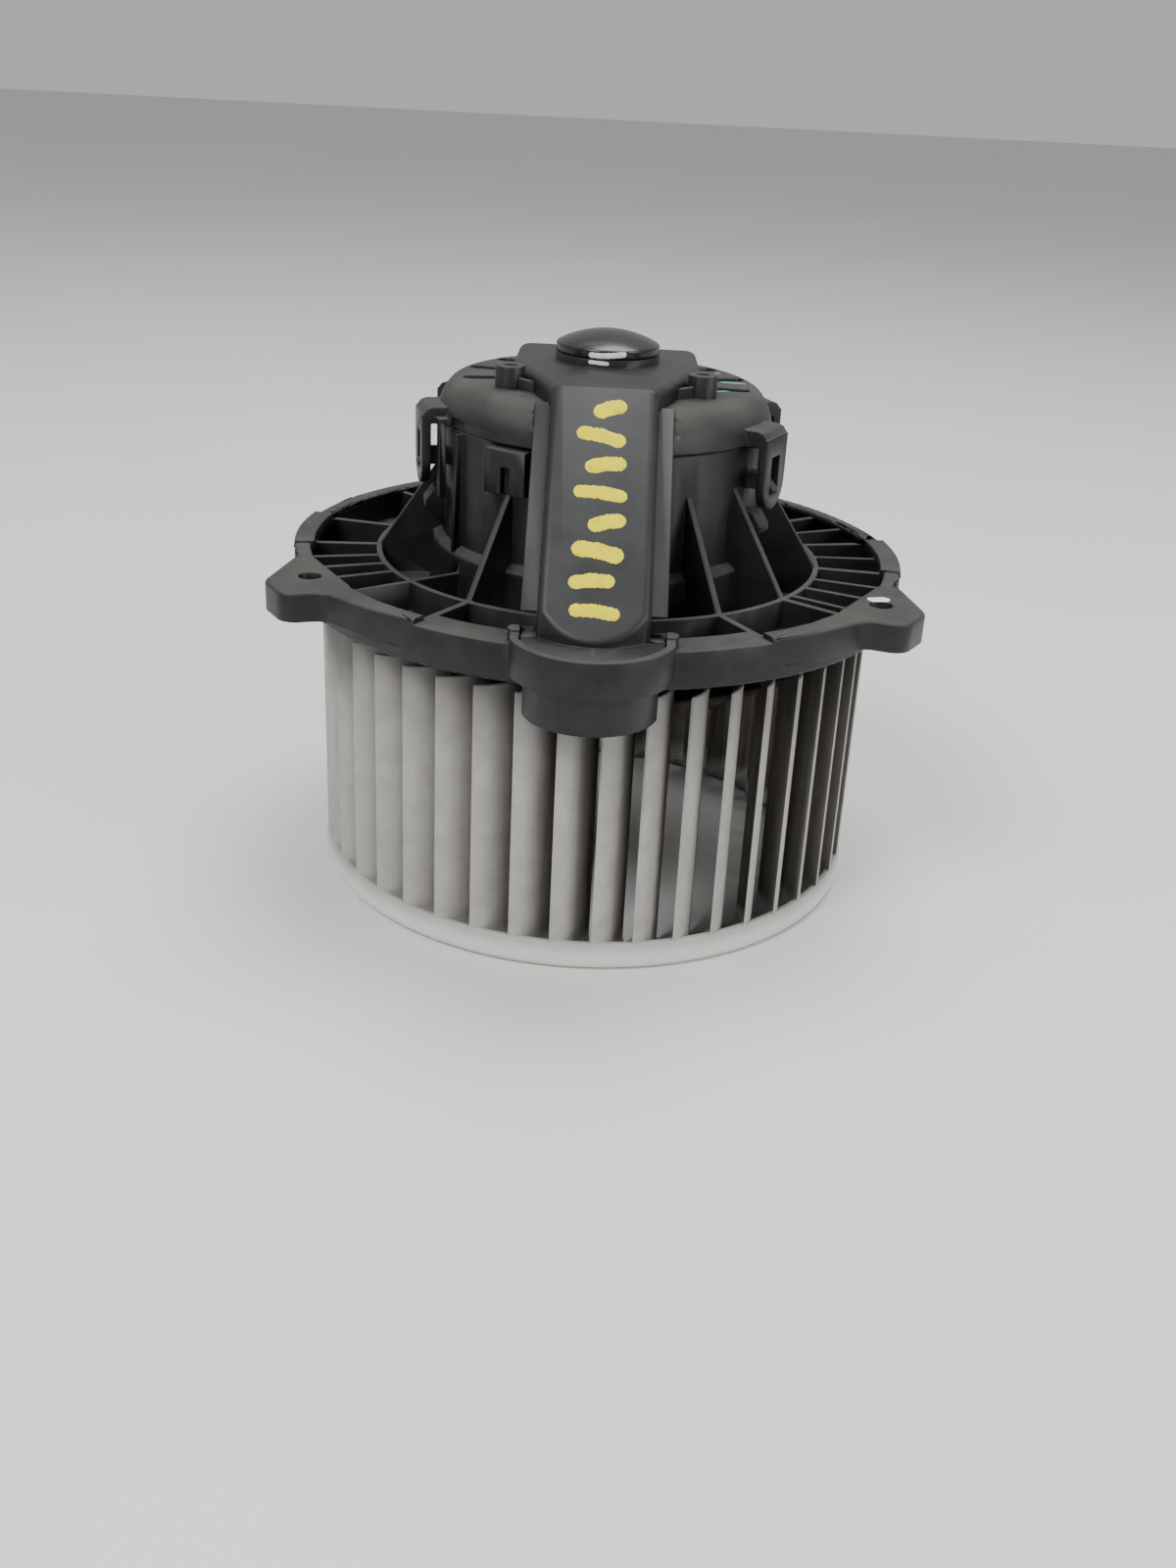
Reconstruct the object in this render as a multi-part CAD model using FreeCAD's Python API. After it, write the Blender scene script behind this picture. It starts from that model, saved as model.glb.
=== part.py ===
"""Cabin heater blower for a car: a brush motor in a moulded holder, turning a squirrel-cage wheel.

Millimetres, +Z up along the shaft. The origin is on the shaft axis at the mounting plane,
which is the underside of the three flange ears. The front, with the cooling duct, faces -Y.
Angles are measured round +Z from the front, and grow towards +X.
"""
import FreeCAD, Part
import math
import os

V = FreeCAD.Vector
AXIS = V(0, 0, 1)
CENTRE = V(0, 0, 0)

# Flange, with the ears' underside at z = 0
RIM_R = 84.75
RIM_TOP = 8.0
RIM_BOTTOM = -3.5
RIM_BAND = 4.5
RIM_WALL = 3.0
FLOOR_TOP = -1.5
EAR_REACH = 97.5
EAR_HOLE_PCD_R = 85.5
EAR_HOLE_R = 3.0
EAR_ANGLES = (60, -60, 180)

# Cup and basket that hold the motor
CUP_R = 44.0
CUP_WALL = 2.5
CUP_TOP = 43.0
DRUM_R = 46.6
DRUM_TOP = 11.0
BASKET_R = 36.0
BASKET_BOTTOM = -26.0
BASKET_WALL = 2.0

# Ribs on the flange floor
RIB_TOP = 6.5
RIB_WIDTH = 1.8
KNEE_R = 61.5
GUSSET_TOP = 32.5
GUSSETS = (-152, -130, -103, -85, -31.5, 31, 53, 83, 104, 125, 152)
FLAT_RIBS = (-75, -68, -61, 57, 65, 73, 93, 115, -141, 141, -163, 163, -175, 175)
CUP_RIBS = (-57, 95, -110, 138, -140)
SHELF_ANGLES = (12, 31)
PAD_ANGLES = (80, 101)

# Cover, snap loops and screw bosses
DOME_R = 46.0
DOME_EDGE = 43.5
ROOF_TOP = 54.0
SKIN = 2.0
SPIGOT_IN = 39.5
LOOP_ANGLES = (-76, 63, 113, -119, 160)
LOOP_WIDTH = 14.0
LOOP_BOTTOM = 26.5
LOOP_IN = 48.6
LOOP_OUT = 51.0
LOOP_TOP = 47.8
BOSS_R = 3.85
BOSS_HOLE_R = 1.75
BOSS_TOP = 60.0
BOSS_PLACES = ((-25, -19), (25, -19), (0, 31))
ROOF_POCKETS = ((80, 29.5), (104, 29.5), (128, 35.5))

# Cooling duct: a flat plate over the cover, then an arm that slopes down to the collar
PLATE_TOP = 59.0
CREASE_Y = -39.0
DUCT_FRONT_Y = -88.5
DUCT_SLOPE = 0.99
DUCT_END = 2.5
DUCT_HALF = 13.5
DUCT_BORE_HALF = 11.7
LIP_HALF = 17.5
LID_DEPTH = 6.0
DUCT_DEPTH = 10.0
LIP = 1.5
LIP_END = 13.5

# Collar and snout, where the duct takes air from the blower casing
COLLAR_HALF = 19.6
COLLAR_TOP = 9.0
COLLAR_FRONT = -99.5
SNOUT_HALF = 16.2
SNOUT_BOTTOM = -10.0
SNOUT_FRONT = -98.0
COLLAR_WALL = 2.2
SHOE_HALF = 17.1
SHOE_BACK = -78.1
SHOE_FRONT = -97.0
SHOE_Z = (6.0, 8.5)

# Cap on the plate
CAP_R = 13.9
CAP_TOP = 67.3
CROWN_R = 28.6
SEAT_TOP = 61.3
PLUG_R = 11.4

# Motor
CAN_R = 31.0
CAN_WALL = 1.5
CAN_BOTTOM = -22.0
CAN_TOP = 34.0
PLATE_THICK = 2.5
BEARING_R = 7.45
BEARING_LENGTH = 6.0
FRONT_BEARING_Z = -25.4
REAR_BEARING_Z = 39.5
SHAFT_R = 3.0
SHAFT_BOTTOM = -50.0
SHAFT_TOP = 47.5
RUNNING_FIT = 0.02
MAGNET_IN = 26.0
MAGNET_OUT = 29.4
CORE_R = 25.2
CORE_Z = (-11.0, 14.0)
SLOTS = 12
COMMUTATOR_R = 10.5
COMMUTATOR_Z = (22.0, 33.0)
BRUSH_HALF_Y = 3.0
BRUSH_Z = (23.5, 31.5)
BRUSH_X = (10.6, 21.5)
BRUSH_FIT = 0.1

# Wheel
WHEEL_R = 77.5
WHEEL_RING_R = 78.0
WHEEL_BOTTOM = -85.5
WHEEL_BAND_TOP = -77.5
WHEEL_RING_TOP = -83.3
BLADE_TOP = -8.5
BLADE_COUNT = 44
BLADE_FIRST = 2.7
BLADE_WIDTH = 1.3
BLADE_CHORD = 16.3
BLADE_LEAN = 33.0
BLADE_BOW = 2.0
HUB_RIM_R = 66.0
HUB_R = 8.0
HUB_Z = (-48.0, -35.0)

# Power socket at the back
SOCKET_HALF_X = 9.0
SOCKET_Y = (50.5, 63.5)
SOCKET_Z = (6.5, 26.0)
BLADE_SPACING = 4.0
LEAD_R = 1.1


# ---------------------------------------------------------------- building blocks

def rounded_wire(corners):
    """Closed wire through (point, radius) corners; a radius above zero is a tangent arc."""
    ends = []
    count = len(corners)
    for i, (point, radius) in enumerate(corners):
        if radius == 0:
            ends.append((point, None, point))
            continue
        back = (corners[i - 1][0] - point).normalize()
        ahead = (corners[(i + 1) % count][0] - point).normalize()
        half = back.getAngle(ahead) / 2
        reach = radius / math.tan(half)
        bisector = (back + ahead).normalize()
        middle = point + bisector * (radius / math.sin(half) - radius)
        ends.append((point + back * reach, middle, point + ahead * reach))
    edges = []
    for i, (start, middle, stop) in enumerate(ends):
        if middle is not None:
            edges.append(Part.Arc(start, middle, stop).toShape())
        following = ends[(i + 1) % count][0]
        if stop.distanceToPoint(following) > 1e-6:
            edges.append(Part.makeLine(stop, following))
    return Part.Wire(edges)


def with_radius(values, size):
    """Splits a corner written as its coordinates, with or without a radius after them."""
    return values[:size], (values[size] if len(values) > size else 0)


def turned(corners, angle=360, start=0):
    """Solid of revolution of a closed outline of (r, z) or (r, z, radius) corners."""
    places = []
    for corner in corners:
        (r, z), radius = with_radius(corner, 2)
        places.append((V(0, -r, z), radius))
    solid = Part.Face(rounded_wire(places)).revolve(CENTRE, AXIS, angle)
    return at_angle(solid, start)


def prism(corners, z0, z1):
    """Upright prism on a plan outline of (x, y) or (x, y, radius) corners."""
    places = []
    for corner in corners:
        (x, y), radius = with_radius(corner, 2)
        places.append((V(x, y, z0), radius))
    return Part.Face(rounded_wire(places)).extrude(V(0, 0, z1 - z0))


def profile_prism(points, half_width):
    """Prism across X on a side outline of (y, z) points."""
    wire = Part.makePolygon([V(-half_width, y, z) for y, z in points + points[:1]])
    return Part.Face(wire).extrude(V(2 * half_width, 0, 0))


def at_angle(shape, angle):
    moved = shape.copy()
    moved.rotate(CENTRE, AXIS, angle)
    return moved


def ring(r_in, r_out, z0, z1):
    tube = Part.makeCylinder(r_out, z1 - z0, V(0, 0, z0))
    if r_in > 0:
        tube = tube.cut(Part.makeCylinder(r_in, z1 - z0 + 2, V(0, 0, z0 - 1)))
    return tube


def post(x, y, r, z0, z1):
    return Part.makeCylinder(r, z1 - z0, V(x, y, z0))


def sector(r_in, r_out, z0, z1, a0, a1):
    """Part of a ring between two angles."""
    return turned([(r_in, z0), (r_out, z0), (r_out, z1), (r_in, z1)], a1 - a0, a0)


def block(x0, x1, y0, y1, z0, z1):
    return Part.makeBox(x1 - x0, y1 - y0, z1 - z0, V(x0, y0, z0))


def radial(points, width, angle):
    """Flat rib on a radius, from its side outline of (r, z) points."""
    return at_angle(profile_prism([(-r, z) for r, z in points], width / 2), angle)


def joined(shapes):
    return shapes[0].multiFuse(shapes[1:]).removeSplitter()


def mirrored(shape):
    return shape.mirror(CENTRE, V(1, 0, 0))


def save(name, shape):
    solids = shape.Solids
    whole = solids[0] if len(solids) == 1 else Part.makeCompound(solids)
    whole.exportStep("parts/" + name + ".step")
    print(name, len(solids), round(whole.Volume / 1000, 2), "cm3", whole.isValid())


# ---------------------------------------------------------------- duct outline

def duct_line(depth, back_y=None):
    """Side line of the duct, a depth below its top face: plate, crease, slope and drop."""
    length = math.hypot(1, DUCT_SLOPE)
    plate_z = PLATE_TOP - depth
    crease_y = CREASE_Y + depth * (length - 1) / DUCT_SLOPE
    front_y = DUCT_FRONT_Y + depth
    elbow_z = plate_z - (crease_y - front_y) * DUCT_SLOPE
    line = [(crease_y, plate_z), (front_y, elbow_z), (front_y, DUCT_END)]
    if back_y is not None:
        line.insert(0, (back_y, plate_z))
    return line


def duct_layer(top, bottom, half_width, back_y=None):
    """Layer of the duct between two depths, cut to a rounded front in plan."""
    solid = profile_prism(duct_line(top, back_y) + duct_line(bottom, back_y)[::-1], half_width)
    front = DUCT_FRONT_Y + top
    return solid.common(d_prism(half_width, 30, front + 6.5, front, 0, PLATE_TOP + 1))


def d_prism(half, y_back, y_side, y_front, z0, z1):
    """Prism with a flat back, straight sides and a bowed front."""
    left, right = V(-half, y_side, z0), V(half, y_side, z0)
    bow = Part.Arc(left, V(0, y_front, z0), right).toShape()
    sides = Part.makePolygon([right, V(half, y_back, z0), V(-half, y_back, z0), left])
    return Part.Face(Part.Wire([bow] + sides.Edges)).extrude(V(0, 0, z1 - z0))


def plate_outline(inset):
    right = [(25 - inset, 24 - inset, 4), (25.2 - inset, -6, 8), (DUCT_HALF - inset, CREASE_Y)]
    left = [(-x, y, *radius) for x, y, *radius in right[::-1]]
    return right + left


# ---------------------------------------------------------------- moulded housing

def ear_side():
    """Outline of one half-slanted ear at the front: steep towards +X, blending along the rim at -X."""
    return [(17.5, -84), (1.5, -EAR_REACH, 6), (-11.5, -EAR_REACH + 0.4, 5), (-13.5, -86.9, 5),
            (-26, -82.6, 60), (-40.4, -74.5), (-12, -79), (15, -79)]


def ear(outline):
    """Flange ear with its bolt hole, standing at the front."""
    plan = prism(outline, 0, RIM_TOP)
    edges = [e for e in plan.Edges if e.BoundBox.ZMin > RIM_TOP - 0.01 and e.BoundBox.YMax < -79.5]
    plan = plan.makeFillet(1.2, edges)
    inner = ring(0, RIM_R - RIM_BAND, -1, RIM_TOP + 1).cut(block(-12, 15, -100, -79, -2, RIM_TOP + 2))
    return plan.cut(inner)


def ears():
    back = [(17.5, -84), (7, -EAR_REACH, 6), (-7, -EAR_REACH, 6), (-17.5, -84), (-12, -79), (12, -79)]
    right = at_angle(ear(ear_side()), 60)
    return [right, mirrored(right), at_angle(ear(back), 180)]


def holder_shell():
    """Rim, floor, drum, cup and basket in one turned wall."""
    rim_in = RIM_R - RIM_WALL
    band_in = RIM_R - RIM_BAND
    cup_in = CUP_R - CUP_WALL
    outline = [
        (12, BASKET_BOTTOM), (BASKET_R - 1, BASKET_BOTTOM, 1.5), (BASKET_R, RIM_BOTTOM),
        (RIM_R, RIM_BOTTOM, 1), (RIM_R, RIM_TOP, 1.2),
        (band_in, RIM_TOP, 0.8), (band_in, RIM_TOP - 2), (rim_in, RIM_TOP - 3.5),
        (rim_in, FLOOR_TOP), (DRUM_R + 1, FLOOR_TOP, 0.8), (DRUM_R, DRUM_TOP, 1.5),
        (CUP_R, DRUM_TOP + 1.5), (CUP_R, CUP_TOP), (cup_in, CUP_TOP), (cup_in, -1),
        (BASKET_R - BASKET_WALL, -1.5), (BASKET_R - BASKET_WALL - 1, BASKET_BOTTOM + BASKET_WALL),
        (12, BASKET_BOTTOM + BASKET_WALL)]
    return turned(outline)


def holder_ribs():
    root = CUP_R - 1
    rim = RIM_R - RIM_WALL + 1
    gusset = [(root, FLOOR_TOP - 1), (root, GUSSET_TOP), (CUP_R, GUSSET_TOP),
              (KNEE_R, RIB_TOP), (rim, RIB_TOP), (rim, FLOOR_TOP - 1)]
    flat = [(KNEE_R, FLOOR_TOP - 1), (KNEE_R, RIB_TOP), (rim, RIB_TOP), (rim, FLOOR_TOP - 1)]
    stay = [(root, DRUM_TOP), (root, CUP_TOP - 0.5), (CUP_R + 1.5, CUP_TOP - 0.5), (DRUM_R, DRUM_TOP)]
    long_flat = [(DRUM_R, FLOOR_TOP - 1), (DRUM_R, RIB_TOP), (rim, RIB_TOP), (rim, FLOOR_TOP - 1)]
    ribs = [radial(gusset, RIB_WIDTH, a) for a in GUSSETS]
    ribs += [radial(flat, RIB_WIDTH - 0.4, a) for a in FLAT_RIBS]
    ribs += [radial(stay, RIB_WIDTH - 0.4, a) for a in CUP_RIBS]
    ribs.append(radial(long_flat, RIB_WIDTH - 0.4, -52))
    ribs.append(ring(KNEE_R - 0.8, KNEE_R + 0.8, FLOOR_TOP - 1, RIB_TOP))
    return ribs


def rim_details():
    """Wide low shelves beside the collar, and the raised pads at both sides."""
    low, high = SHELF_ANGLES
    first, last = PAD_ANGLES
    shelf = sector(75, RIM_R - 1, FLOOR_TOP - 1, RIB_TOP, low, high)
    pad = sector(RIM_R - 5.5, RIM_R, RIM_TOP - 3, RIM_TOP + 0.8, first, last)
    return [shelf, mirrored(shelf), pad, mirrored(pad)]


def collar():
    """Collar round the duct's foot, with the snout under it."""
    outer = d_prism(COLLAR_HALF, -76.2, -85, COLLAR_FRONT, -0.5, COLLAR_TOP)
    snout = d_prism(SNOUT_HALF, -80, -85.5, SNOUT_FRONT, SNOUT_BOTTOM, 0)
    hooks = [post(side * (COLLAR_HALF - 1.2), -79.5, 2.0, -0.5, COLLAR_TOP + 0.8) for side in (-1, 1)]
    return [outer, snout] + hooks


def collar_bore():
    wall = COLLAR_WALL
    bore = d_prism(COLLAR_HALF - wall, -77.8, -85, COLLAR_FRONT + wall, 1.5, 30)
    throat = d_prism(SNOUT_HALF - 2, -82, -85.5, SNOUT_FRONT + 2, SNOUT_BOTTOM - 1, 5)
    saddle = block(-DUCT_HALF - 0.5, DUCT_HALF + 0.5, -80, -70, 3, 30)
    return [bore, throat, saddle]


def cup_details():
    """Slotted panel beside the duct, and a catch with its lead-in under every snap loop."""
    panel = sector(CUP_R - 1, CUP_R + 3.5, 31, CUP_TOP - 0.5, -39, -24)
    slot = sector(CUP_R + 1.5, CUP_R + 5, 30, 38, -32.5, -29.5)
    root = CUP_R - 1
    catch = [(root, 31.5), (root, 36), (CUP_R + 4, 36), (LOOP_OUT + 0.6, 32), (LOOP_OUT + 0.6, 31.5)]
    ramp = [(root, 15), (root, 25.5), (CUP_R + 3, 25.5), (CUP_R + 5.5, 22), (CUP_R + 5.5, 20),
            (CUP_R + 1, 15)]
    details = [panel.cut(slot)]
    for angle in LOOP_ANGLES:
        details += [radial(catch, 3.6, angle), radial(ramp, 6.0, angle)]
    return details


def socket_seat():
    """Hollow pedestal on the floor at the back, under the power socket."""
    y0, y1 = SOCKET_Y
    outer = block(-8, 8, y0 + 1, y1 - 1, FLOOR_TOP - 1, SOCKET_Z[0])
    return outer.cut(block(-6, 6, y0 + 3, y1 - 3, FLOOR_TOP, SOCKET_Z[0] + 1))


def motor_holder():
    shelf_top = [sector(74, RIM_R + 1, RIB_TOP, RIM_TOP + 1, *SHELF_ANGLES)]
    shelf_top.append(mirrored(shelf_top[0]))
    solids = [holder_shell().cut(shelf_top)] + rim_details() + holder_ribs() + cup_details() + ears()
    body = joined(solids + collar() + [socket_seat()])
    windows = [radial([(BASKET_R - 6, -20), (BASKET_R - 6, -7), (BASKET_R + 4, -7), (BASKET_R + 4, -20)],
                      14, angle) for angle in range(30, 360, 60)]
    lead_holes = [Part.makeCylinder(LEAD_R + 0.2, 13, V(side * BLADE_SPACING, 33, 18), V(0, 1, 0))
                  for side in (-1, 1)]
    screw_holes = [at_angle(post(0, -22, 1.7, BASKET_BOTTOM - 1, BASKET_BOTTOM + 4), a)
                   for a in (60, 180, 300)]
    bore = Part.makeCylinder(CUP_R - CUP_WALL, CUP_TOP, V(0, 0, 0))
    ear_holes = [at_angle(post(0, -EAR_HOLE_PCD_R, EAR_HOLE_R, -5, 12), a) for a in EAR_ANGLES]
    duct_notch = block(-DUCT_HALF - 0.3, DUCT_HALF + 0.3, -CUP_R - 1, -30, 39.6, CUP_TOP + 1)
    cuts = windows + lead_holes + screw_holes + collar_bore() + ear_holes + [bore, duct_notch]
    return body.cut(cuts).removeSplitter()


# ---------------------------------------------------------------- cover and duct

def dome():
    """Turned cover with a shelf that sits on the cup and a spigot inside it."""
    outline = [
        (0, ROOF_TOP), (41, ROOF_TOP, 5.5), (44.6, 49.2, 12), (DOME_R, DOME_EDGE, 0.5),
        (CUP_R + 0.8, DOME_EDGE), (CUP_R + 0.4, CUP_TOP), (CUP_R - CUP_WALL - 0.2, CUP_TOP),
        (CUP_R - CUP_WALL - 0.2, 39.5), (SPIGOT_IN, 39.5), (SPIGOT_IN, 45.5), (42.9, 46.5),
        (42.4, 48.6, 3), (39.9, ROOF_TOP - SKIN, 3), (0, ROOF_TOP - SKIN)]
    return turned(outline)


def snap_loop(angle):
    """Strap with a round end and a slot, hanging from a block on the cover's edge."""
    half = LOOP_WIDTH / 2
    thick = LOOP_OUT - LOOP_IN
    strap = block(-half, half, -LOOP_OUT, -LOOP_IN, LOOP_BOTTOM + half, LOOP_TOP - 2)
    tip = Part.makeCylinder(half, thick, V(0, -LOOP_IN, LOOP_BOTTOM + half), V(0, -1, 0))
    inner = 2.2 - DOME_R
    side = [(inner, DOME_EDGE), (-LOOP_OUT, DOME_EDGE), (-LOOP_OUT, LOOP_TOP - 2.4),
            (1.6 - LOOP_OUT, LOOP_TOP - 0.4), (3 - LOOP_OUT, LOOP_TOP), (inner, LOOP_TOP)]
    root = profile_prism(side, half)
    slot = block(-2.6, 2.6, -LOOP_OUT - 1, 1 - LOOP_IN, 30.6, 40.5)
    return at_angle(joined([strap, tip, root]).cut(slot), angle)


def loop_guide():
    """Square-ended finger hanging beside the front left loop, with the bar that carries it."""
    return [sector(DOME_R, DOME_R + 2, 24.5, 45.4, -66, -63.6),
            sector(DOME_R - 2, DOME_R + 2, DOME_EDGE, 45.4, -70, -63.6)]


def roof_pockets():
    """Shallow recesses with round ends, cut along radii into the roof at both sides."""
    pockets = []
    for angle, start in ROOF_POCKETS:
        ends = [post(0, -r, 2.4, ROOF_TOP - 1.2, ROOF_TOP + 1) for r in (start, 36.5)]
        middle = block(-2.4, 2.4, -36.5, -start, ROOF_TOP - 1.2, ROOF_TOP + 1)
        pocket = at_angle(joined(ends + [middle]), angle)
        pockets += [pocket, mirrored(pocket)]
    return pockets


def boss_webs():
    """Thin webs from the two front bosses to the duct."""
    web = profile_prism([(-4, 51.5), (-4, 57), (8, 57), (8, 51.5)], 0.7)
    web.rotate(CENTRE, AXIS, -52)
    web.translate(V(19.5, -23.5, 0))
    return [web, mirrored(web)]


def motor_cover():
    tray = duct_layer(LID_DEPTH, DUCT_DEPTH, DUCT_HALF)
    lips = profile_prism(duct_line(LID_DEPTH)[:2] + duct_line(LID_DEPTH + LIP)[:2][::-1], LIP_HALF)
    lips = lips.cut(block(-50, 50, -200, 0, -50, LIP_END))
    hollow = duct_layer(LID_DEPTH - 5, DUCT_DEPTH - 1.8, DUCT_BORE_HALF, back_y=-20)
    bosses = [post(x, y, BOSS_R, ROOF_TOP - 1.5, BOSS_TOP) for x, y in BOSS_PLACES]
    holes = [post(x, y, BOSS_HOLE_R, ROOF_TOP - 0.5, BOSS_TOP + 1) for x, y in BOSS_PLACES]
    loops = [snap_loop(a) for a in LOOP_ANGLES] + loop_guide()
    body = joined([dome(), tray, lips, shoe(False)] + bosses + boss_webs() + loops)
    lid_room = [duct_layer(0, LID_DEPTH, DUCT_HALF, back_y=-20), duct_layer(0, LID_DEPTH, LIP_HALF)]
    opening = prism(plate_outline(4), ROOF_TOP - SKIN - 1, ROOF_TOP + 1)
    lifted_edge = sector(DOME_R - SKIN, DOME_R + 1, DOME_EDGE - 1, 46.2, -62, -39)
    plate_room = prism(plate_outline(0), ROOF_TOP, PLATE_TOP)
    cuts = [hollow, opening, lifted_edge, plate_room] + lid_room + holes
    return body.cut(cuts + roof_pockets()).removeSplitter()


def shoe(front):
    """Front or back part of the flange that fills the collar round the duct's foot."""
    whole = d_prism(SHOE_HALF, SHOE_BACK, -85, SHOE_FRONT, *SHOE_Z)
    seam = DUCT_FRONT_Y + LID_DEPTH
    side = block(-30, 30, -120, seam, 0, 20) if front else block(-30, 30, seam, 0, 0, 20)
    return whole.common(side)


def lid_lips():
    lips = profile_prism(duct_line(LID_DEPTH - LIP)[:2] + duct_line(LID_DEPTH)[:2][::-1], LIP_HALF)
    return lips.cut(block(-50, 50, -200, 0, -50, LIP_END))


def cooling_duct():
    """Upper half of the duct: plate with the cap's seat, arm and lips."""
    channel = duct_layer(0, LID_DEPTH, DUCT_HALF, back_y=-20)
    plate = prism(plate_outline(0), ROOF_TOP, PLATE_TOP)
    outer = joined([plate, channel])
    edges = [e for e in outer.Edges if on_duct_top(e)]
    outer = outer.makeFillet(2.4, edges)
    inner = duct_layer(SKIN, LID_DEPTH, DUCT_BORE_HALF, back_y=-20)
    plate_inner = prism(plate_outline(SKIN), ROOF_TOP - 1, PLATE_TOP - SKIN)
    seat = ring(PLUG_R + 0.2, CAP_R + 0.1, PLATE_TOP - 1, SEAT_TOP)
    body = joined([outer, lid_lips(), seat, shoe(True)]).cut([inner, plate_inner])
    return body.cut(Part.makeCylinder(PLUG_R + 0.2, 10, V(0, 0, PLATE_TOP - 5))).removeSplitter()


def on_duct_top(edge):
    """True for an edge round the duct's top face, but not for the crease across it."""
    ends = [v.Point for v in edge.Vertexes]
    heights = [min(PLATE_TOP, PLATE_TOP - (CREASE_Y - p.y) * DUCT_SLOPE) - p.z for p in ends]
    across = len(ends) == 2 and abs(ends[0].y - ends[1].y) < 0.01 and abs(ends[0].x + ends[1].x) < 0.01
    crease = across and abs(ends[0].y - CREASE_Y) < 0.5
    return max(abs(h) for h in heights) < 0.05 and not crease


def top_cap():
    """Plug-in cap with a crowned top."""
    inside = CAP_TOP - 5.5
    outline = [(0, CAP_TOP), (CAP_R, CAP_TOP), (CAP_R, SEAT_TOP + 0.2), (PLUG_R, SEAT_TOP + 0.2),
               (PLUG_R, 57), (PLUG_R - 1.6, 57), (PLUG_R - 1.6, inside), (0, inside)]
    return turned(outline).common(Part.makeSphere(CROWN_R, V(0, 0, CAP_TOP - CROWN_R)))


# ---------------------------------------------------------------- motor

def bearing(z0):
    """Barrel-shaped sintered bush."""
    z1 = z0 + BEARING_LENGTH
    bore = SHAFT_R + RUNNING_FIT
    return turned([(bore, z0), (5.6, z0), (BEARING_R, z0 + 2), (BEARING_R, z1 - 2), (5.6, z1), (bore, z1)])


def motor_can():
    inside = CAN_R - CAN_WALL
    outline = [(4.5, -27), (9, -27, 1), (9, CAN_BOTTOM), (CAN_R, CAN_BOTTOM, 3), (CAN_R, CAN_TOP),
               (inside, CAN_TOP), (inside, CAN_BOTTOM + CAN_WALL, 1.5), (7.5, CAN_BOTTOM + CAN_WALL),
               (7.5, FRONT_BEARING_Z - 0.1), (4.5, FRONT_BEARING_Z - 0.1)]
    vents = [at_angle(post(0, -16, 3, CAN_BOTTOM - 1, CAN_BOTTOM + 3), a) for a in range(0, 360, 60)]
    holes = [at_angle(post(0, -22, 1.5, CAN_BOTTOM - 1, CAN_BOTTOM + 3), a) for a in (60, 180, 300)]
    return turned(outline).cut(vents + holes)


def brush_plate():
    """Moulded end plate with the rear bearing's boss."""
    top = CAN_TOP + PLATE_THICK
    spigot_out = CAN_R - CAN_WALL - 0.1
    outline = [(4.6, CAN_TOP), (spigot_out - 2, CAN_TOP), (spigot_out - 2, CAN_TOP - 2),
               (spigot_out, CAN_TOP - 2), (spigot_out, CAN_TOP), (CAN_R, CAN_TOP), (CAN_R, top),
               (10.5, top), (10.5, 46), (7.5, 46), (7.5, REAR_BEARING_Z - 0.1), (4.6, REAR_BEARING_Z - 0.1)]
    vents = [sector(17, 25, CAN_TOP - 1, top + 1, a - 12, a + 12) for a in (30, 150, 210, 330)]
    return turned(outline).cut(vents)


def brush_holder(side):
    """Square brass tube under the brush plate, open towards the commutator."""
    z0, z1 = BRUSH_Z
    wall = 0.8
    fit = BRUSH_FIT
    y = BRUSH_HALF_Y + fit
    outer = block(13, 27, -y - wall, y + wall, z0 - fit - wall, CAN_TOP)
    outer = outer.cut(block(12, 27 - wall, -y, y, z0 - fit, z1 + fit))
    return outer if side > 0 else mirrored(outer)


def brush(side):
    """Carbon block with a blind bore at the back for its spring."""
    x0, x1 = BRUSH_X
    z0, z1 = BRUSH_Z
    solid = block(x0 - 1, x1, -BRUSH_HALF_Y, BRUSH_HALF_Y, z0, z1)
    solid = solid.cut(Part.makeCylinder(x0, 40, V(0, 0, 10)))
    solid = solid.cut(Part.makeCylinder(2.2, x1 - 16, V(16, 0, (z0 + z1) / 2), V(1, 0, 0)))
    return solid if side > 0 else mirrored(solid)


def brush_spring(side):
    """Coil between the holder's end and the brush's bore, drawn at its shortest length."""
    coil_r, wire_r, start, length = 1.6, 0.3, 20.6, 5.2
    helix = Part.makeHelix(1.3, length, coil_r)
    section = Part.Wire(Part.makeCircle(wire_r, V(coil_r, 0, 0), V(0, 1, 0)))
    coil = Part.Wire(helix).makePipeShell([section], True, True)
    coil.rotate(CENTRE, V(0, 1, 0), 90)
    coil.translate(V(start, 0, sum(BRUSH_Z) / 2))
    return coil if side > 0 else mirrored(coil)


def field_magnets():
    return [sector(MAGNET_IN, MAGNET_OUT, -15, 17, centre - 64, centre + 64) for centre in (0, 180)]


def magnet_springs():
    """Sheet clips that push the two magnets apart, in the gaps at both sides."""
    clips = []
    for centre in (90, 270):
        legs = [sector(MAGNET_OUT - 1.6, MAGNET_OUT, -14, 16, a - 1.2, a + 1.2)
                for a in (centre - 24.4, centre + 24.4)]
        bridge = sector(MAGNET_OUT - 1.6, MAGNET_OUT, -14, -12, centre - 25, centre + 25)
        clips.append(joined(legs + [bridge]))
    return clips


def armature_core():
    z0, z1 = CORE_Z
    core = ring(SHAFT_R, CORE_R, z0, z1)
    cuts = []
    for i in range(SLOTS):
        angle = i * 360 / SLOTS
        pocket = post(0, -17.5, 3.9, z0 - 1, z1 + 1)
        mouth = block(-1, 1, -CORE_R - 1, -17.5, z0 - 1, z1 + 1)
        cuts += [at_angle(pocket, angle), at_angle(mouth, angle)]
    return core.cut(cuts)


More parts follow.
